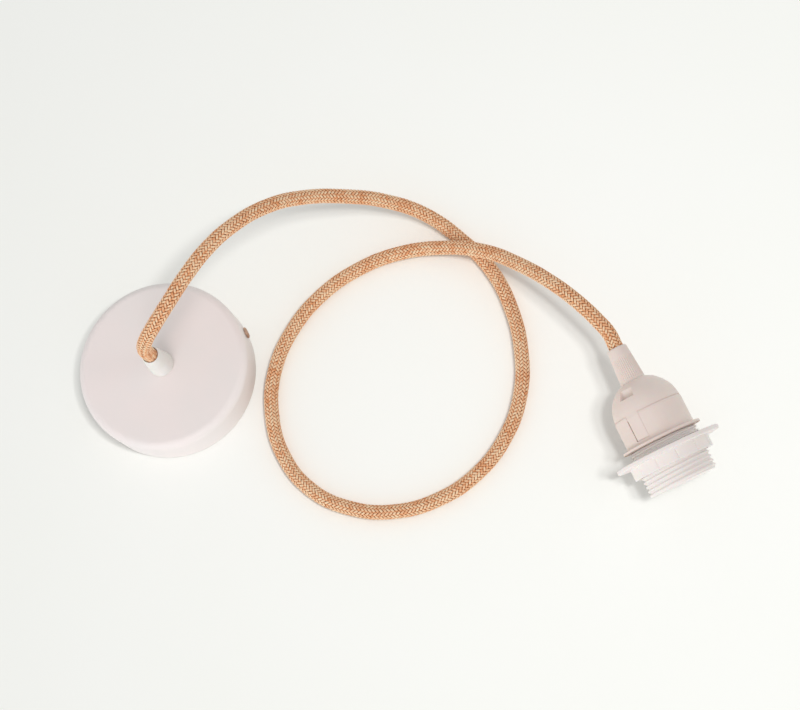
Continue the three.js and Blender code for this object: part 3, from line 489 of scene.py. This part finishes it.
def rounded(outline, steps=4):
    """An outline of (radius, height, rounding) with its corners rounded, all in millimetres."""
    made = []
    for i, (radius, height, rounding) in enumerate(outline):
        corner = Vector((radius, height))
        if not rounding:
            made.append((radius, height))
            continue
        before = Vector(outline[i - 1][:2]) - corner
        after = Vector(outline[(i + 1) % len(outline)][:2]) - corner
        half = before.angle(after) / 2
        reach = min(rounding / math.tan(half), before.length * 0.49, after.length * 0.49)
        start = corner + before.normalized() * reach
        end = corner + after.normalized() * reach
        for k in range(steps + 1):
            share = k / steps
            ahead = start.lerp(corner, share)
            made.append(tuple(ahead.lerp(corner.lerp(end, share), share)))
    return made


def lathe(name, outline, sides=160, sweep=(0.0, 360.0)):
    """A closed solid turned round the Z axis from an outline of (radius, height) in millimetres."""
    full = abs(sweep[1] - sweep[0]) >= 360
    columns = sides if full else sides + 1
    shape = bmesh.new()
    rings = []
    for radius, height in outline:
        if radius < 1e-6:
            rings.append([shape.verts.new((0, 0, height * mm))] * columns)
            continue
        ring = []
        for i in range(columns):
            angle = math.radians(sweep[0] + (sweep[1] - sweep[0]) * i / sides)
            across = radius * mm
            ring.append(shape.verts.new((across * math.cos(angle), across * math.sin(angle), height * mm)))
        rings.append(ring)
    for j, ring in enumerate(rings):
        below = rings[j - 1]
        for i in range(sides):
            k = (i + 1) % columns
            corners = list(dict.fromkeys((below[i], below[k], ring[k], ring[i])))
            if len(corners) > 2:
                shape.faces.new(corners)
    if not full:
        for column in (0, columns - 1):
            shape.faces.new([ring[column] for ring in rings])
    bmesh.ops.recalc_face_normals(shape, faces=shape.faces)
    mesh = bpy.data.meshes.new(name)
    shape.to_mesh(mesh)
    shape.free()
    return mesh_object(name, mesh)


def combined(piece, others, operation):
    """A piece with others cut out of it or joined to it, as one plain mesh; the others are used up."""
    for other in others:
        modifier = piece.modifiers.new(operation.lower(), "BOOLEAN")
        modifier.object = other
        modifier.operation = operation
        modifier.solver = "EXACT"
    shown = piece.evaluated_get(bpy.context.evaluated_depsgraph_get())
    mesh = bpy.data.meshes.new_from_object(shown)
    name = piece.name
    for used in (piece, *others):
        bpy.data.objects.remove(used)
    return mesh_object(name, mesh)


def bar_box(name, x, y, z):
    """A plain box between two values on each axis, in millimetres, to cut with."""
    shape = bmesh.new()
    corners = [shape.verts.new((a * mm, b * mm, c * mm)) for a in x for b in y for c in z]
    for face in ((0, 1, 3, 2), (4, 6, 7, 5), (0, 4, 5, 1), (2, 3, 7, 6), (0, 2, 6, 4), (1, 5, 7, 3)):
        shape.faces.new([corners[i] for i in face])
    bmesh.ops.recalc_face_normals(shape, faces=shape.faces)
    mesh = bpy.data.meshes.new(name)
    shape.to_mesh(mesh)
    shape.free()
    return mesh_object(name, mesh)


def finished(piece, material, body="cord_set", place=None, sharp=35):
    """Puts a piece in place, smooths it, gives it its material and lets it ride on its body."""
    mesh = piece.data
    if place:
        mesh.transform(place)
    mesh.materials.clear()
    mesh.materials.append(material)
    mesh.shade_smooth()
    mesh.set_sharp_from_angle(angle=math.radians(sharp))
    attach(piece, body)
    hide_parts(piece.name.removesuffix("_skin"))
    return piece


# Rose cup: a round cup drawn from sheet steel with a rounded shoulder, powder coated off-white. Two
# screws through its wall hold it to the strap, and the nylon grip goes through the middle of its face.
rose_radius = 50.0
rose_height = 25.0
rose_wall = 1.0
rose_edge = 5.0
grip_hole = 5.2
side_screw_level = 10.0
side_screw_hole = 2.05

rose_shoulder = (rose_radius - rose_edge, rose_height - rose_edge)
rose_outline = [(grip_hole, rose_height)]
rose_outline += [(r, rose_height) for r in (8.0, 14.0, 24.0, 34.0, 42.0)]
rose_outline += arc(rose_shoulder, rose_edge, 90, 0, 16)
rose_outline += [(rose_radius, 10.0), (rose_radius, 0.3), (rose_radius - 0.3, 0.0)]
rose_outline += [(rose_radius - rose_wall + 0.3, 0.0), (rose_radius - rose_wall, 0.3)]
rose_outline += arc(rose_shoulder, rose_edge - rose_wall, 0, 90, 12)
rose_outline += [(grip_hole, rose_height - rose_wall)]
rose = lathe("rose_cup_skin", rose_outline, sides=256)
drill_reach = rose_radius + 10
rose_drill = lathe("rose_drill", [
    (0, -drill_reach), (side_screw_hole, -drill_reach), (side_screw_hole, drill_reach), (0, drill_reach),
], sides=32)
sideways = Matrix.Rotation(math.pi / 2, 4, "Y")
rose_drill.data.transform(Matrix.Translation((0, 0, side_screw_level * mm)) @ sideways)
rose = combined(rose, [rose_drill], "DIFFERENCE")
rose_paint = finish_material(
    "rose_paint", moulded_skin, (420, 26), srgb(235, 227, 225), srgb(230, 226, 224), (0.46, 0.56), 0.05,
    Coat_Weight=0.1, Coat_Roughness=0.4,
)
rose = finished(rose, rose_paint)


# Screws: turned steel or brass with a pan head and a straight slot, driven in from outside.
def pan_screw(name, shank, head, head_height, slot, length, sides=40):
    """A screw whose head starts at height zero and whose shank points down, in millimetres."""
    outline = rounded([
        (0, -length, 0), (shank - 0.3, -length, 0), (shank, 0.3 - length, 0), (shank, 0, 0), (head, 0, 0.08),
        (head, head_height * 0.55, head_height * 0.3), (head * 0.8, head_height, head_height * 0.4),
        (0, head_height, 0),
    ])
    across = head + 1
    cutter = bar_box("slot", (-slot / 2, slot / 2), (-across, across), (head_height * 0.5, head_height + 1))
    return combined(lathe(name, outline, sides), [cutter], "DIFFERENCE")


for name, side, turn in (("side_screw_right", 1, 34), ("side_screw_left", -1, 70)):
    screw = pan_screw(name + "_skin", shank=1.75, head=3.4, head_height=1.3, slot=0.9, length=8.0)
    facing = Matrix.Rotation(side * math.pi / 2, 4, "Y") @ Matrix.Rotation(math.radians(turn), 4, "Z")
    seat = Matrix.Translation((side * (rose_radius + 0.3) * mm, 0, side_screw_level * mm))
    finished(screw, bronze, place=seat @ facing)

# The terminal block's four screws, its fixing screw and the earth screw, under the cup
tube_off_middle = 5.5
tube_screw_seat = 11.8
block_screw_seat = (20.5 * mm, 0, 10.3 * mm)
earth_screw_seat = (-13.0 * mm, 0, 2.9 * mm)
for way, y in (("live", tube_off_middle), ("neutral", -tube_off_middle)):
    for column, x in (("cord", 16.2), ("supply", 24.8)):
        name = f"terminal_screw_{way}_{column}_skin"
        screw = pan_screw(name, shank=1.3, head=1.7, head_height=1.4, slot=0.6, length=3.35)
        seat = Matrix.Translation((x * mm, y * mm, tube_screw_seat * mm))
        finished(screw, zinc, place=seat)
screw = pan_screw("terminal_block_screw_skin", shank=1.3, head=2.6, head_height=1.6, slot=0.7, length=10.0)
finished(screw, zinc, place=Matrix.Translation(block_screw_seat))
screw = pan_screw("earth_screw_skin", shank=1.75, head=3.3, head_height=2.0, slot=0.9, length=2.6)
finished(screw, brass, place=Matrix.Translation(earth_screw_seat))

# Cord grip: white nylon, a low foot under a slim cone with a rounded lip. A hollow shank goes down
# through the cup's face to a hexagon nut, and a small nylon screw at the back pinches the flex.
grip_base = 25.3
grip_top = 47.0
grip_bore = 4.55
shank_bore = 3.65
shank_radius = 4.9
foot_radius = 7.4
grip = lathe("cord_grip_skin", rounded([
    (shank_bore, grip_base - 12, 0.2), (shank_radius, grip_base - 12, 0.3), (shank_radius, grip_base, 0),
    (foot_radius, grip_base, 0.2), (foot_radius, grip_base + 1.2, 0.5), (5.3, grip_top - 0.8, 0.5),
    (5.03, grip_top, 0.3), (grip_bore, grip_top, 0.15), (grip_bore, grip_top - 14, 0),
    (shank_bore, grip_top - 15, 0),
]), sides=96)
pinch_turn = Matrix.Rotation(math.radians(115), 4, "Z")
pinch_place = Matrix.Translation((0, 0, (grip_top - 10) * mm)) @ pinch_turn @ sideways
pinch_hole = lathe("pinch_hole", [(0, 0), (1.9, 0), (1.9, 12), (0, 12)], sides=32)
pinch_hole.data.transform(pinch_place)
grip = combined(grip, [pinch_hole], "DIFFERENCE")
finished(grip, nylon)
pinch = lathe("cord_grip_screw_skin", rounded([
    (0, 4.55, 0), (1.6, 4.55, 0.1), (1.6, 9.3, 0.25), (0, 9.3, 0),
]), sides=40)
pinch_slot = bar_box("pinch_slot", (-0.3, 0.3), (-3, 3), (8.4, 11))
pinch = combined(pinch, [pinch_slot], "DIFFERENCE")
finished(pinch, nylon, place=pinch_place)

# Flex inside the rose and inside the lampholder: the braid ends where it is pinched, and the bare rubber
# sheath goes on to where its cores leave it.
sheath_radius = 3.35
rose_tail_end, rose_tail_start = 11.3, 33.0
holder_tail_start, holder_tail_end = -48.95, -37.65
rose_tail = lathe("cord_tail_rose_skin", rounded([
    (0, rose_tail_end, 0), (sheath_radius, rose_tail_end, 0.3), (sheath_radius, rose_tail_start, 0),
    (0, rose_tail_start, 0),
]), sides=48)
finished(rose_tail, sheath_rubber)
holder_tail = lathe("cord_tail_holder_skin", rounded([
    (0, holder_tail_start, 0), (sheath_radius, holder_tail_start, 0), (sheath_radius, holder_tail_end, 0.3),
    (0, holder_tail_end, 0),
]), sides=48)
finished(holder_tail, sheath_rubber, place=holder_place)

# Cores: brown live, blue neutral and green-yellow earth, each in its own soft insulation, bent from the
# end of the sheath to its terminal.
core_radius = 1.15
core_brown = finish_material(
    "core_brown", moulded_skin, (700, 120), srgb(116, 72, 44), srgb(98, 58, 34), (0.4, 0.55), 0.03,
)
core_blue = finish_material(
    "core_blue", moulded_skin, (700, 120), srgb(62, 112, 178), srgb(48, 94, 158), (0.4, 0.55), 0.03,
)


def earth_material():
    """Green insulation with a yellow stripe that winds round it."""
    made, tree, shader = principled("core_earth", Roughness=0.48)
    place = put(tree, "ShaderNodeTexCoord").outputs["Object"]
    wound = {"Vector": place, "Scale": 160.0, "Distortion": 0.6}
    band = put(tree, "ShaderNodeTexWave", wound, bands_direction="DIAGONAL")
    stripe = ranged(tree, band.outputs["Fac"], 0.42, 0.58)
    colour = mix_colour(tree, stripe, srgb(62, 140, 62), srgb(226, 206, 60))
    tree.links.new(colour, shader.inputs["Base Color"])
    grain = put(tree, "ShaderNodeTexNoise", {"Vector": place, "Scale": 700.0}).outputs["Fac"]
    bump = put(tree, "ShaderNodeBump", {"Height": grain, "Strength": 0.4, "Distance": 0.03 * mm})
    tree.links.new(bump.outputs[0], shader.inputs["Normal"])
    return made


core_earth = earth_material()


def core(name, points, material, place=None):
    """A round insulated core along a smooth line through points in millimetres."""
    line = route_curve(name + "_line", [Vector(p) * mm for p in points])
    line.data.bevel_depth = core_radius * mm
    line.data.bevel_resolution = 4
    line.data.use_fill_caps = True
    mesh = bpy.data.meshes.new_from_object(line.evaluated_get(bpy.context.evaluated_depsgraph_get()))
    bpy.data.objects.remove(line)
    finished(mesh_object(name + "_skin", mesh), material, place=place, sharp=60)


core_off_middle = 1.386
plate_off_middle = 5.95
for way, side, material, slot in (
    ("live", 1, core_brown, "core_brown"),
    ("neutral", -1, core_blue, "core_blue"),
):
    out_of_sheath = side * core_off_middle
    into_tube = side * tube_off_middle
    to_plate = side * plate_off_middle
    core(f"core_{way}_rose", [
        (0.8, out_of_sheath, 11.0), (0.8, out_of_sheath, 9.4), (3.8, (out_of_sheath + into_tube) / 2, 8.2),
        (9.0, into_tube, 7.0), (12.0, into_tube, 7.0), (18.2, into_tube, 7.0),
    ], material)
    core(f"core_{way}_holder", [
        (0, side * 1.6, -37.35), (0, side * 1.6, -35.75), (0, to_plate, -24.1), (0, to_plate, -21.4),
    ], material, place=holder_place)
core("core_earth_rose", [
    (-1.6, 0, 11.0), (-1.6, 0, 9.4), (-3.2, 0, 5.4), (-5.2, 0, 3.8), (-8.1, 0, 3.8),
], core_earth)


# Pieces that keep the shape of their solids, with softened edges: the zinc plated strap and nut, the
# terminal block with its brass tubes, the earth tag, and the contacts and plates of the lampholder.
def dressed(node, material, edge):
    """A copy of a node's solid with flat faces joined again and its sharp edges softened."""
    source = frame["nodes"][node]
    mesh = source.data.copy()
    mesh.transform(source.matrix_world)
    shape = bmesh.new()
    shape.from_mesh(mesh)
    bmesh.ops.remove_doubles(shape, verts=shape.verts, dist=0.002 * mm)
    bmesh.ops.dissolve_limit(
        shape, angle_limit=math.radians(1), verts=shape.verts, edges=shape.edges,
        use_dissolve_boundaries=False,
    )
    bmesh.ops.recalc_face_normals(shape, faces=shape.faces)
    shape.to_mesh(mesh)
    shape.free()
    piece = mesh_object(node + "_skin", mesh)
    bevel = piece.modifiers.new("softened edges", "BEVEL")
    bevel.width = edge * mm
    bevel.segments = 2
    bevel.limit_method = "ANGLE"
    bevel.angle_limit = math.radians(40)
    bevel.use_clamp_overlap = True
    shown = piece.evaluated_get(bpy.context.evaluated_depsgraph_get())
    soft = bpy.data.meshes.new_from_object(shown)
    bpy.data.objects.remove(piece)
    return finished(mesh_object(node + "_skin", soft), material, sharp=40)


carrier_plastic = finish_material(
    "carrier_plastic", moulded_skin, (500, 70), srgb(236, 232, 223), srgb(226, 221, 210), (0.5, 0.62), 0.05,
)
dressed("mounting_strap", zinc, 0.15)
dressed("cord_grip_nut", zinc, 0.3)
dressed("terminal_block", clear_nylon, 0.2)
dressed("earth_tag", brass, 0.08)
dressed("contact_carrier", carrier_plastic, 0.2)
dressed("cord_clamp_ring", clear_nylon, 0.1)
for way in ("live", "neutral"):
    dressed(f"terminal_tube_{way}", brass, 0.08)
    dressed(f"terminal_plate_{way}", brass, 0.12)
for contact in ("centre_contact", "side_contact"):
    dressed(contact, brass, 0.08)
plate_screw_off_middle = 10.4
plate_screw_seat = -21.4
for way, side in (("live", 1), ("neutral", -1)):
    screw = pan_screw(f"plate_screw_{way}_skin", shank=1.4, head=2.4, head_height=1.6, slot=0.7, length=6.8)
    spot = Matrix.Translation((0, side * plate_screw_off_middle * mm, plate_screw_seat * mm))
    seat = holder_place @ spot @ Matrix.Rotation(math.pi, 4, "X")
    finished(screw, zinc, place=seat)


# Moulding details of the lampholder, made by moving the points of a turned piece in its own frame: the
# collar's ribs, the shade ring's grip marks, and the threads outside and inside the skirt.
def turned_place(tree):
    """A point of a turned piece: its angle, its height, its distance from the axis and its way outwards."""
    place = put(tree, "GeometryNodeInputPosition").outputs[0]
    part = put(tree, "ShaderNodeSeparateXYZ", {0: place})
    x, y, z = part.outputs[0], part.outputs[1], part.outputs[2]
    squares = calc(tree, "ADD", calc(tree, "MULTIPLY", x, x), calc(tree, "MULTIPLY", y, y))
    flat = put(tree, "ShaderNodeCombineXYZ", {0: x, 1: y})
    outward = vector(tree, "NORMALIZE", flat.outputs[0])
    return calc(tree, "ARCTAN2", y, x), z, calc(tree, "SQRT", squares), outward


def moved_out(tree, geometry, outward, length):
    """The points of a geometry, each moved outwards by its own length."""
    inputs = {"Geometry": geometry, "Offset": scaled(tree, outward, length)}
    return put(tree, "GeometryNodeSetPosition", inputs).outputs[0]


def grooves_tree():
    """Lengthwise grooves round a turned piece: each point outside a radius sinks where a groove runs."""
    tree, given, out = new_tree("lengthwise grooves", {
        "Count": "Float", "Phase": "Float", "Depth": "Float", "Share": "Float", "From": "Float",
        "To": "Float", "Fade": "Float", "Least Radius": "Float", "Finish": "Material",
    })
    socket = given.outputs
    angle, height, radius, outward = turned_place(tree)
    turn = calc(tree, "SUBTRACT", angle, socket["Phase"])
    turn = calc(tree, "MULTIPLY", calc(tree, "DIVIDE", turn, math.tau), socket["Count"])
    off = calc(tree, "ABSOLUTE", calc(tree, "SUBTRACT", turn, calc(tree, "ROUND", turn)))
    off = calc(tree, "DIVIDE", off, calc(tree, "MULTIPLY", socket["Share"], 0.5))
    groove = calc(tree, "COSINE", calc(tree, "MULTIPLY", calc(tree, "MINIMUM", off, 1.0), math.pi))
    groove = calc(tree, "MULTIPLY", calc(tree, "ADD", groove, 1.0), 0.5)
    begin = ranged(tree, calc(tree, "SUBTRACT", height, socket["From"]), 0.0, socket["Fade"])
    end = ranged(tree, calc(tree, "SUBTRACT", socket["To"], height), 0.0, socket["Fade"])
    outside = calc(tree, "GREATER_THAN", radius, socket["Least Radius"])
    between = calc(tree, "MULTIPLY", begin, end)
    depth = calc(tree, "MULTIPLY", calc(tree, "MULTIPLY", groove, between), outside)
    depth = calc(tree, "MULTIPLY", calc(tree, "MULTIPLY", depth, socket["Depth"]), -1.0)
    moved = moved_out(tree, socket["Geometry"], outward, depth)
    close_tree(tree, moved, socket["Finish"], out)
    return tree


def thread_tree():
    """A right-handed screw thread on the points of a turned piece between two radii."""
    tree, given, out = new_tree("screw thread", {
        "Pitch": "Float", "Crest At": "Float", "Height": "Float", "Least Radius": "Float",
        "Most Radius": "Float", "Finish": "Material",
    })
    socket = given.outputs
    crest_half, root_from = 0.14, 0.33
    angle, height, radius, outward = turned_place(tree)
    turn = calc(tree, "DIVIDE", angle, math.tau)
    rise = calc(tree, "DIVIDE", calc(tree, "SUBTRACT", height, socket["Crest At"]), socket["Pitch"])
    rise = calc(tree, "SUBTRACT", rise, turn)
    off = calc(tree, "ABSOLUTE", calc(tree, "SUBTRACT", rise, calc(tree, "ROUND", rise)))
    flank = {0: off, 1: crest_half, 2: root_from, 3: 1.0, 4: 0.0}
    ridge = put(tree, "ShaderNodeMapRange", flank, interpolation_type="SMOOTHSTEP").outputs[0]
    past_least = calc(tree, "GREATER_THAN", radius, socket["Least Radius"])
    below_most = calc(tree, "LESS_THAN", radius, socket["Most Radius"])
    threaded = calc(tree, "MULTIPLY", past_least, below_most)
    length = calc(tree, "MULTIPLY", calc(tree, "MULTIPLY", ridge, threaded), socket["Height"])
    moved = moved_out(tree, socket["Geometry"], outward, length)
    close_tree(tree, moved, socket["Finish"], out)
    return tree


grooves = grooves_tree()
thread = thread_tree()

# Holder cap: moulded warm off-white. A rim, a short round wall, a seam under the dome, a latch tongue
# that springs in the wall, three pockets in the dome, and a small lug that stops the collar turning.
rim_front, rim_back, rim_radius = -6.3, -8.1, 22.5
wall_radius, wall_bore = 19.45, 17.8
seam_at = -24.8
dome_start = -24.2
dome_radius, dome_rise = 19.05, 18.8
dome_bore, dome_bore_rise = 17.4, 17.15
dome_top_radius = 7.1
dome_top_angle = math.degrees(math.acos(dome_top_radius / dome_radius))
dome_top = dome_start - dome_rise * math.sin(math.radians(dome_top_angle))
neck_radius, neck_bore = 5.3, 4.55
holder_skin = finish_material(
    "holder_skin", moulded_skin, (520, 34), srgb(243, 228, 220), srgb(235, 219, 210), (0.4, 0.5), 0.04,
    Subsurface_Weight=0.12, Subsurface_Scale=0.003,
)
cap_outline = rounded([
    (rim_radius, rim_front, 0.4), (rim_radius, rim_back, 0.4), (wall_radius, rim_back, 0.6),
    (wall_radius, seam_at + 1.6, 0.6), (dome_radius, seam_at - 0.6, 0),
])
cap_outline += arc((0.0, dome_start), (dome_radius, -dome_rise), 5, dome_top_angle, 28)
cap_outline += [(neck_radius, dome_top), (neck_radius, collar_neck_end), (5.15, -49.25)]
cap_outline += [(neck_bore, -49.25), (neck_bore, -40.6)]
cap_outline += arc((0.0, dome_start), (dome_bore, -dome_bore_rise), 74, 0, 16)
cap_outline += [(wall_bore, dome_start), (wall_bore, rim_front)]
cap = lathe("holder_cap_skin", cap_outline, sides=240)

# A thicker lining closes the dome behind each of its three pockets, which are then cut into it
pocket_middles = (32, 152, 272)
lining_outline = [(11.6, -32.8), (16.1, -32.8), (14.8, -35), (13.1, -37), (11.6, -38.4)]
linings = []
for i, middle in enumerate(pocket_middles):
    linings.append(lathe(f"lining_{i}", lining_outline, sides=24, sweep=(middle - 18, middle + 18)))
cap = combined(cap, linings, "UNION")

# Cuts: inner and outer radius, lowest and highest station, first and last angle, and steps
cap_cuts = [
    ("seam_cut", (18.8, 22, seam_at, seam_at + 0.5), (44.5, 381.5), 220),
    ("slit_cut", (15, 22, -22, -10), (43.5, 45.5), 2),
    ("slit_line_cut", (19.1, 22, seam_at, -21.9), (44.1, 44.9), 2),
    ("hair_cut", (19.2, 22, seam_at, -10), (21.15, 21.85), 2),
    ("foot_cut", (19.0, 22, -10.3, -10), (21.5, 44.5), 16),
]
for i, middle in enumerate(pocket_middles):
    cap_cuts.append((f"pocket_cut_{i}", (12.8, 22, -43, -33.4), (middle - 15.4, middle + 15.4), 24))
cutters = []
for name, (inner, outer, low, high), sweep, sides in cap_cuts:
    cutters.append(lathe(name, [(inner, low), (outer, low), (outer, high), (inner, high)], sides, sweep))
cap = combined(cap, cutters, "DIFFERENCE")

# The stop lug beside the collar, its outer edge sloped with the dome
lug = bar_box("stop_lug", (7.6, 11.4), (-1.1, 1.1), (-41.4, -38.6))
for corner in lug.data.vertices:
    if corner.co.x > 9.5 * mm and corner.co.z < -40 * mm:
        corner.co.z += 1.9 * mm
lug.data.transform(Matrix.Rotation(math.radians(-78), 4, "Z"))
cap = combined(cap, [lug], "UNION")
finished(cap, holder_skin, place=holder_place, sharp=28)

# Grip collar: a tapered moulded nut with fine ribs round its middle, which squeezes the clamp ring.
collar_base = dome_top + 0.1
collar_end = -61.8
collar_tip = 5.7
collar_flare = 1.4
collar_run = collar_base - collar_end - 1.6
collar_rows = 30
collar_outline = [(5.35, collar_base)]
for i in reversed(range(collar_rows + 1)):
    radius = collar_tip + collar_flare * i / collar_rows
    collar_outline.append((radius, collar_end + 1.6 + collar_run * (radius - collar_tip) / collar_flare))
collar_outline += [(5.62, collar_end + 1.0), (5.45, collar_end + 0.35), (5.2, collar_end + 0.05)]
collar_outline += [(4.95, collar_end), (4.55, collar_end), (4.55, -54.7), (5.35, -53.7)]
collar = lathe("holder_grip_collar_skin", collar_outline, sides=480)
collar = bake_nodes(collar, grooves, {
    "Count": 36.0, "Phase": 0.0, "Depth": 0.34 * mm, "Share": 1.0, "From": (collar_end + 5.6) * mm,
    "To": (collar_base - 0.8) * mm, "Fade": 1.2 * mm, "Least Radius": 5.6 * mm, "Finish": holder_skin,
}, "holder_grip_collar_skin")
finished(collar, holder_skin, place=holder_place)

# Threaded skirt: the moulded front of the lampholder, threaded outside for the shade ring and inside
# for the lamp, with a plain sleeve that pushes into the cap.
mouth = 19.35
skirt_back = -6.0
skirt_end = -10.7
ring_thread_root = 18.6
lamp_thread_root = 13.85
outer_wall_bore = 17.0
lamp_wall_radius = 15.2
sleeve_radius, sleeve_bore = 17.45, 16.2
outer_rows = 122
inner_rows = 84
outer_run = mouth - 0.25 - skirt_back
inner_run = skirt_end - mouth + 1.2
# The skirt and the shade ring take a whiter copy of the holder plastic, painted light where the key falls on
# the mouth side
lit_front_skin = finish_material(
    "holder_front_skin", moulded_skin, (520, 34), srgb(248, 242, 238), srgb(243, 236, 232), (0.4, 0.5), 0.04,
    Subsurface_Weight=0.12, Subsurface_Scale=0.003,
)
skirt_outline = [(17.35, skirt_end), (sleeve_radius, skirt_end + 0.2), (sleeve_radius, skirt_back)]
skirt_outline += [(ring_thread_root, skirt_back + outer_run * i / outer_rows) for i in range(outer_rows + 1)]
skirt_outline += [(18.3, mouth), (lamp_wall_radius, mouth), (14.9, mouth - 0.2)]
for i in range(inner_rows + 1):
    skirt_outline.append((lamp_thread_root, mouth - 1.2 + inner_run * i / inner_rows))
skirt_outline += [(lamp_wall_radius, skirt_end), (lamp_wall_radius, mouth - 2), (outer_wall_bore, mouth - 2)]
skirt_outline += [(outer_wall_bore, skirt_back + 1), (sleeve_bore, skirt_back), (sleeve_bore, skirt_end)]
skirt = lathe("threaded_skirt_skin", skirt_outline, sides=108)
ring_thread = {
    "Pitch": 2.5 * mm, "Crest At": 10.35 * mm, "Height": 0.95 * mm, "Least Radius": 18.5 * mm,
    "Most Radius": 19.0 * mm, "Finish": lit_front_skin,
}
lamp_thread = {
    "Pitch": 3.63 * mm, "Crest At": 10.0 * mm, "Height": -0.85 * mm, "Least Radius": 13.7 * mm,
    "Most Radius": 14.0 * mm, "Finish": lit_front_skin,
}
for values in (ring_thread, lamp_thread):
    skirt = bake_nodes(skirt, thread, values, "threaded_skirt_skin")
finished(skirt, lit_front_skin, place=holder_place)

# Shade ring: a wide thin flange with a short collar, twelve shallow grip marks round the collar. It
# screws along the skirt and holds a lampshade against the cap's rim.
ring_bore = 20.0
flange_radius = 29.8
flange_half = 1.2
grip_radius = 22.9
ring_front = 7.95
ring_outline = rounded([
    (ring_bore, -flange_half, 0.2), (flange_radius, -flange_half, 0.6), (flange_radius, flange_half, 0.6),
    (grip_radius, flange_half, 0.4), (grip_radius, ring_front, 0.5), (ring_bore, ring_front, 0.3),
], steps=5)

# Rows of points along the ring's collar, from where it leaves the flange, let the grip marks sink into it
for row, (radius, station) in enumerate(ring_outline):
    if abs(radius - grip_radius) < 1e-6 and station > 1:
        break
ring_outline[row + 1:row + 1] = [(grip_radius, 1.8 + 0.45 * i) for i in range(13)]
ring = lathe("shade_ring_skin", ring_outline, sides=384)
ring = bake_nodes(ring, grooves, {
    "Count": 12.0, "Phase": math.radians(-3.5), "Depth": 0.45 * mm, "Share": 0.1, "From": 1.7 * mm,
    "To": 7.5 * mm, "Fade": 0.5 * mm, "Least Radius": 22.8 * mm, "Finish": lit_front_skin,
}, "shade_ring_skin")
finished(ring, lit_front_skin, body="shade_ring", place=holder_place)

# Floor: a plain pale sheet that runs out of the picture on every side.
floor_half = 12.0
floor_level = -0.25 * mm
floor_mesh = bpy.data.meshes.new("floor")
corners = [(-1, -1), (1, -1), (1, 1), (-1, 1)]
sheet = [(x * floor_half, y * floor_half, floor_level) for x, y in corners]
floor_mesh.from_pydata(sheet, [], [(0, 1, 2, 3)])
floor = mesh_object("floor", floor_mesh)
floor_paper = finish_material(
    "floor_paper", moulded_skin, (300, 6), srgb(241, 242, 238), srgb(242, 243, 240), (0.85, 0.9), 0.02,
)
floor_mesh.materials.append(floor_paper)

# Light: an even white sky, a key from the picture's lower left and a warm lamp near the camera that reach
# only the set, a low lamp from the right for the rose, and two lamps near the camera that light only the
# floor and throw its short soft shadow to the picture's left and down.
sky_strength = 0.64
world = bpy.data.worlds.new("sky")
world.use_nodes = True
background = world.node_tree.nodes["Background"]
background.inputs["Color"].default_value = (1, 1, 1, 1)
background.inputs["Strength"].default_value = sky_strength
bpy.context.scene.world = world
bpy.context.scene.view_settings.view_transform = "Standard"

picture = camera.rotation_quaternion.to_matrix()
picture_right, picture_up, picture_near = picture.col[0], picture.col[1], picture.col[2]
floor_only = bpy.data.collections.new("floor_only")
floor_only.objects.link(floor)
all_but_floor = bpy.data.collections.new("all_but_floor")
all_but_floor.objects.link(floor)
all_but_floor.collection_objects[0].light_linking.link_state = "EXCLUDE"

rose_only = bpy.data.collections.new("rose_only")
rose_only.objects.link(rose)


def lamp(name, way, distance, size, power, colour, lights):
    """A round soft lamp for some pieces; its way is how far it lies right, up and near in the picture."""
    right, up, near = way
    data = bpy.data.lights.new(name, "AREA")
    data.shape = "DISK"
    data.size = size
    data.energy = power
    data.color = colour
    made = bpy.data.objects.new(name, data)
    towards = (picture_right * right + picture_up * up + picture_near * near).normalized()
    made.location = camera_target + towards * distance
    made.rotation_mode = "QUATERNION"
    made.rotation_quaternion = towards.to_track_quat("Z", "Y")
    bpy.context.collection.objects.link(made)
    made.light_linking.receiver_collection = lights


lamp(
    "key_lamp", way=(-0.5, -0.9, 0.6), distance=2.2, size=0.8, power=10.5, colour=(0.85, 0.95, 1.0),
    lights=all_but_floor,
)
lamp(
    "face_lamp", way=(-0.1, -0.35, 1.0), distance=2.4, size=1.2, power=8.5, colour=(1.0, 0.83, 0.8),
    lights=all_but_floor,
)
lamp(
    "fill_lamp", way=(1.0, 0.1, 0.45), distance=2.2, size=1.0, power=7, colour=(1.0, 0.98, 0.95),
    lights=rose_only,
)
lamp(
    "floor_lamp_near", way=(0.16, 0.09, 1.0), distance=0.95, size=0.09, power=2.3, colour=(1.0, 0.99, 0.975),
    lights=floor_only,
)
lamp(
    "floor_lamp_far", way=(0.2, 0.12, 1.0), distance=5.0, size=0.6, power=47, colour=(1.0, 1.0, 0.985),
    lights=floor_only,
)
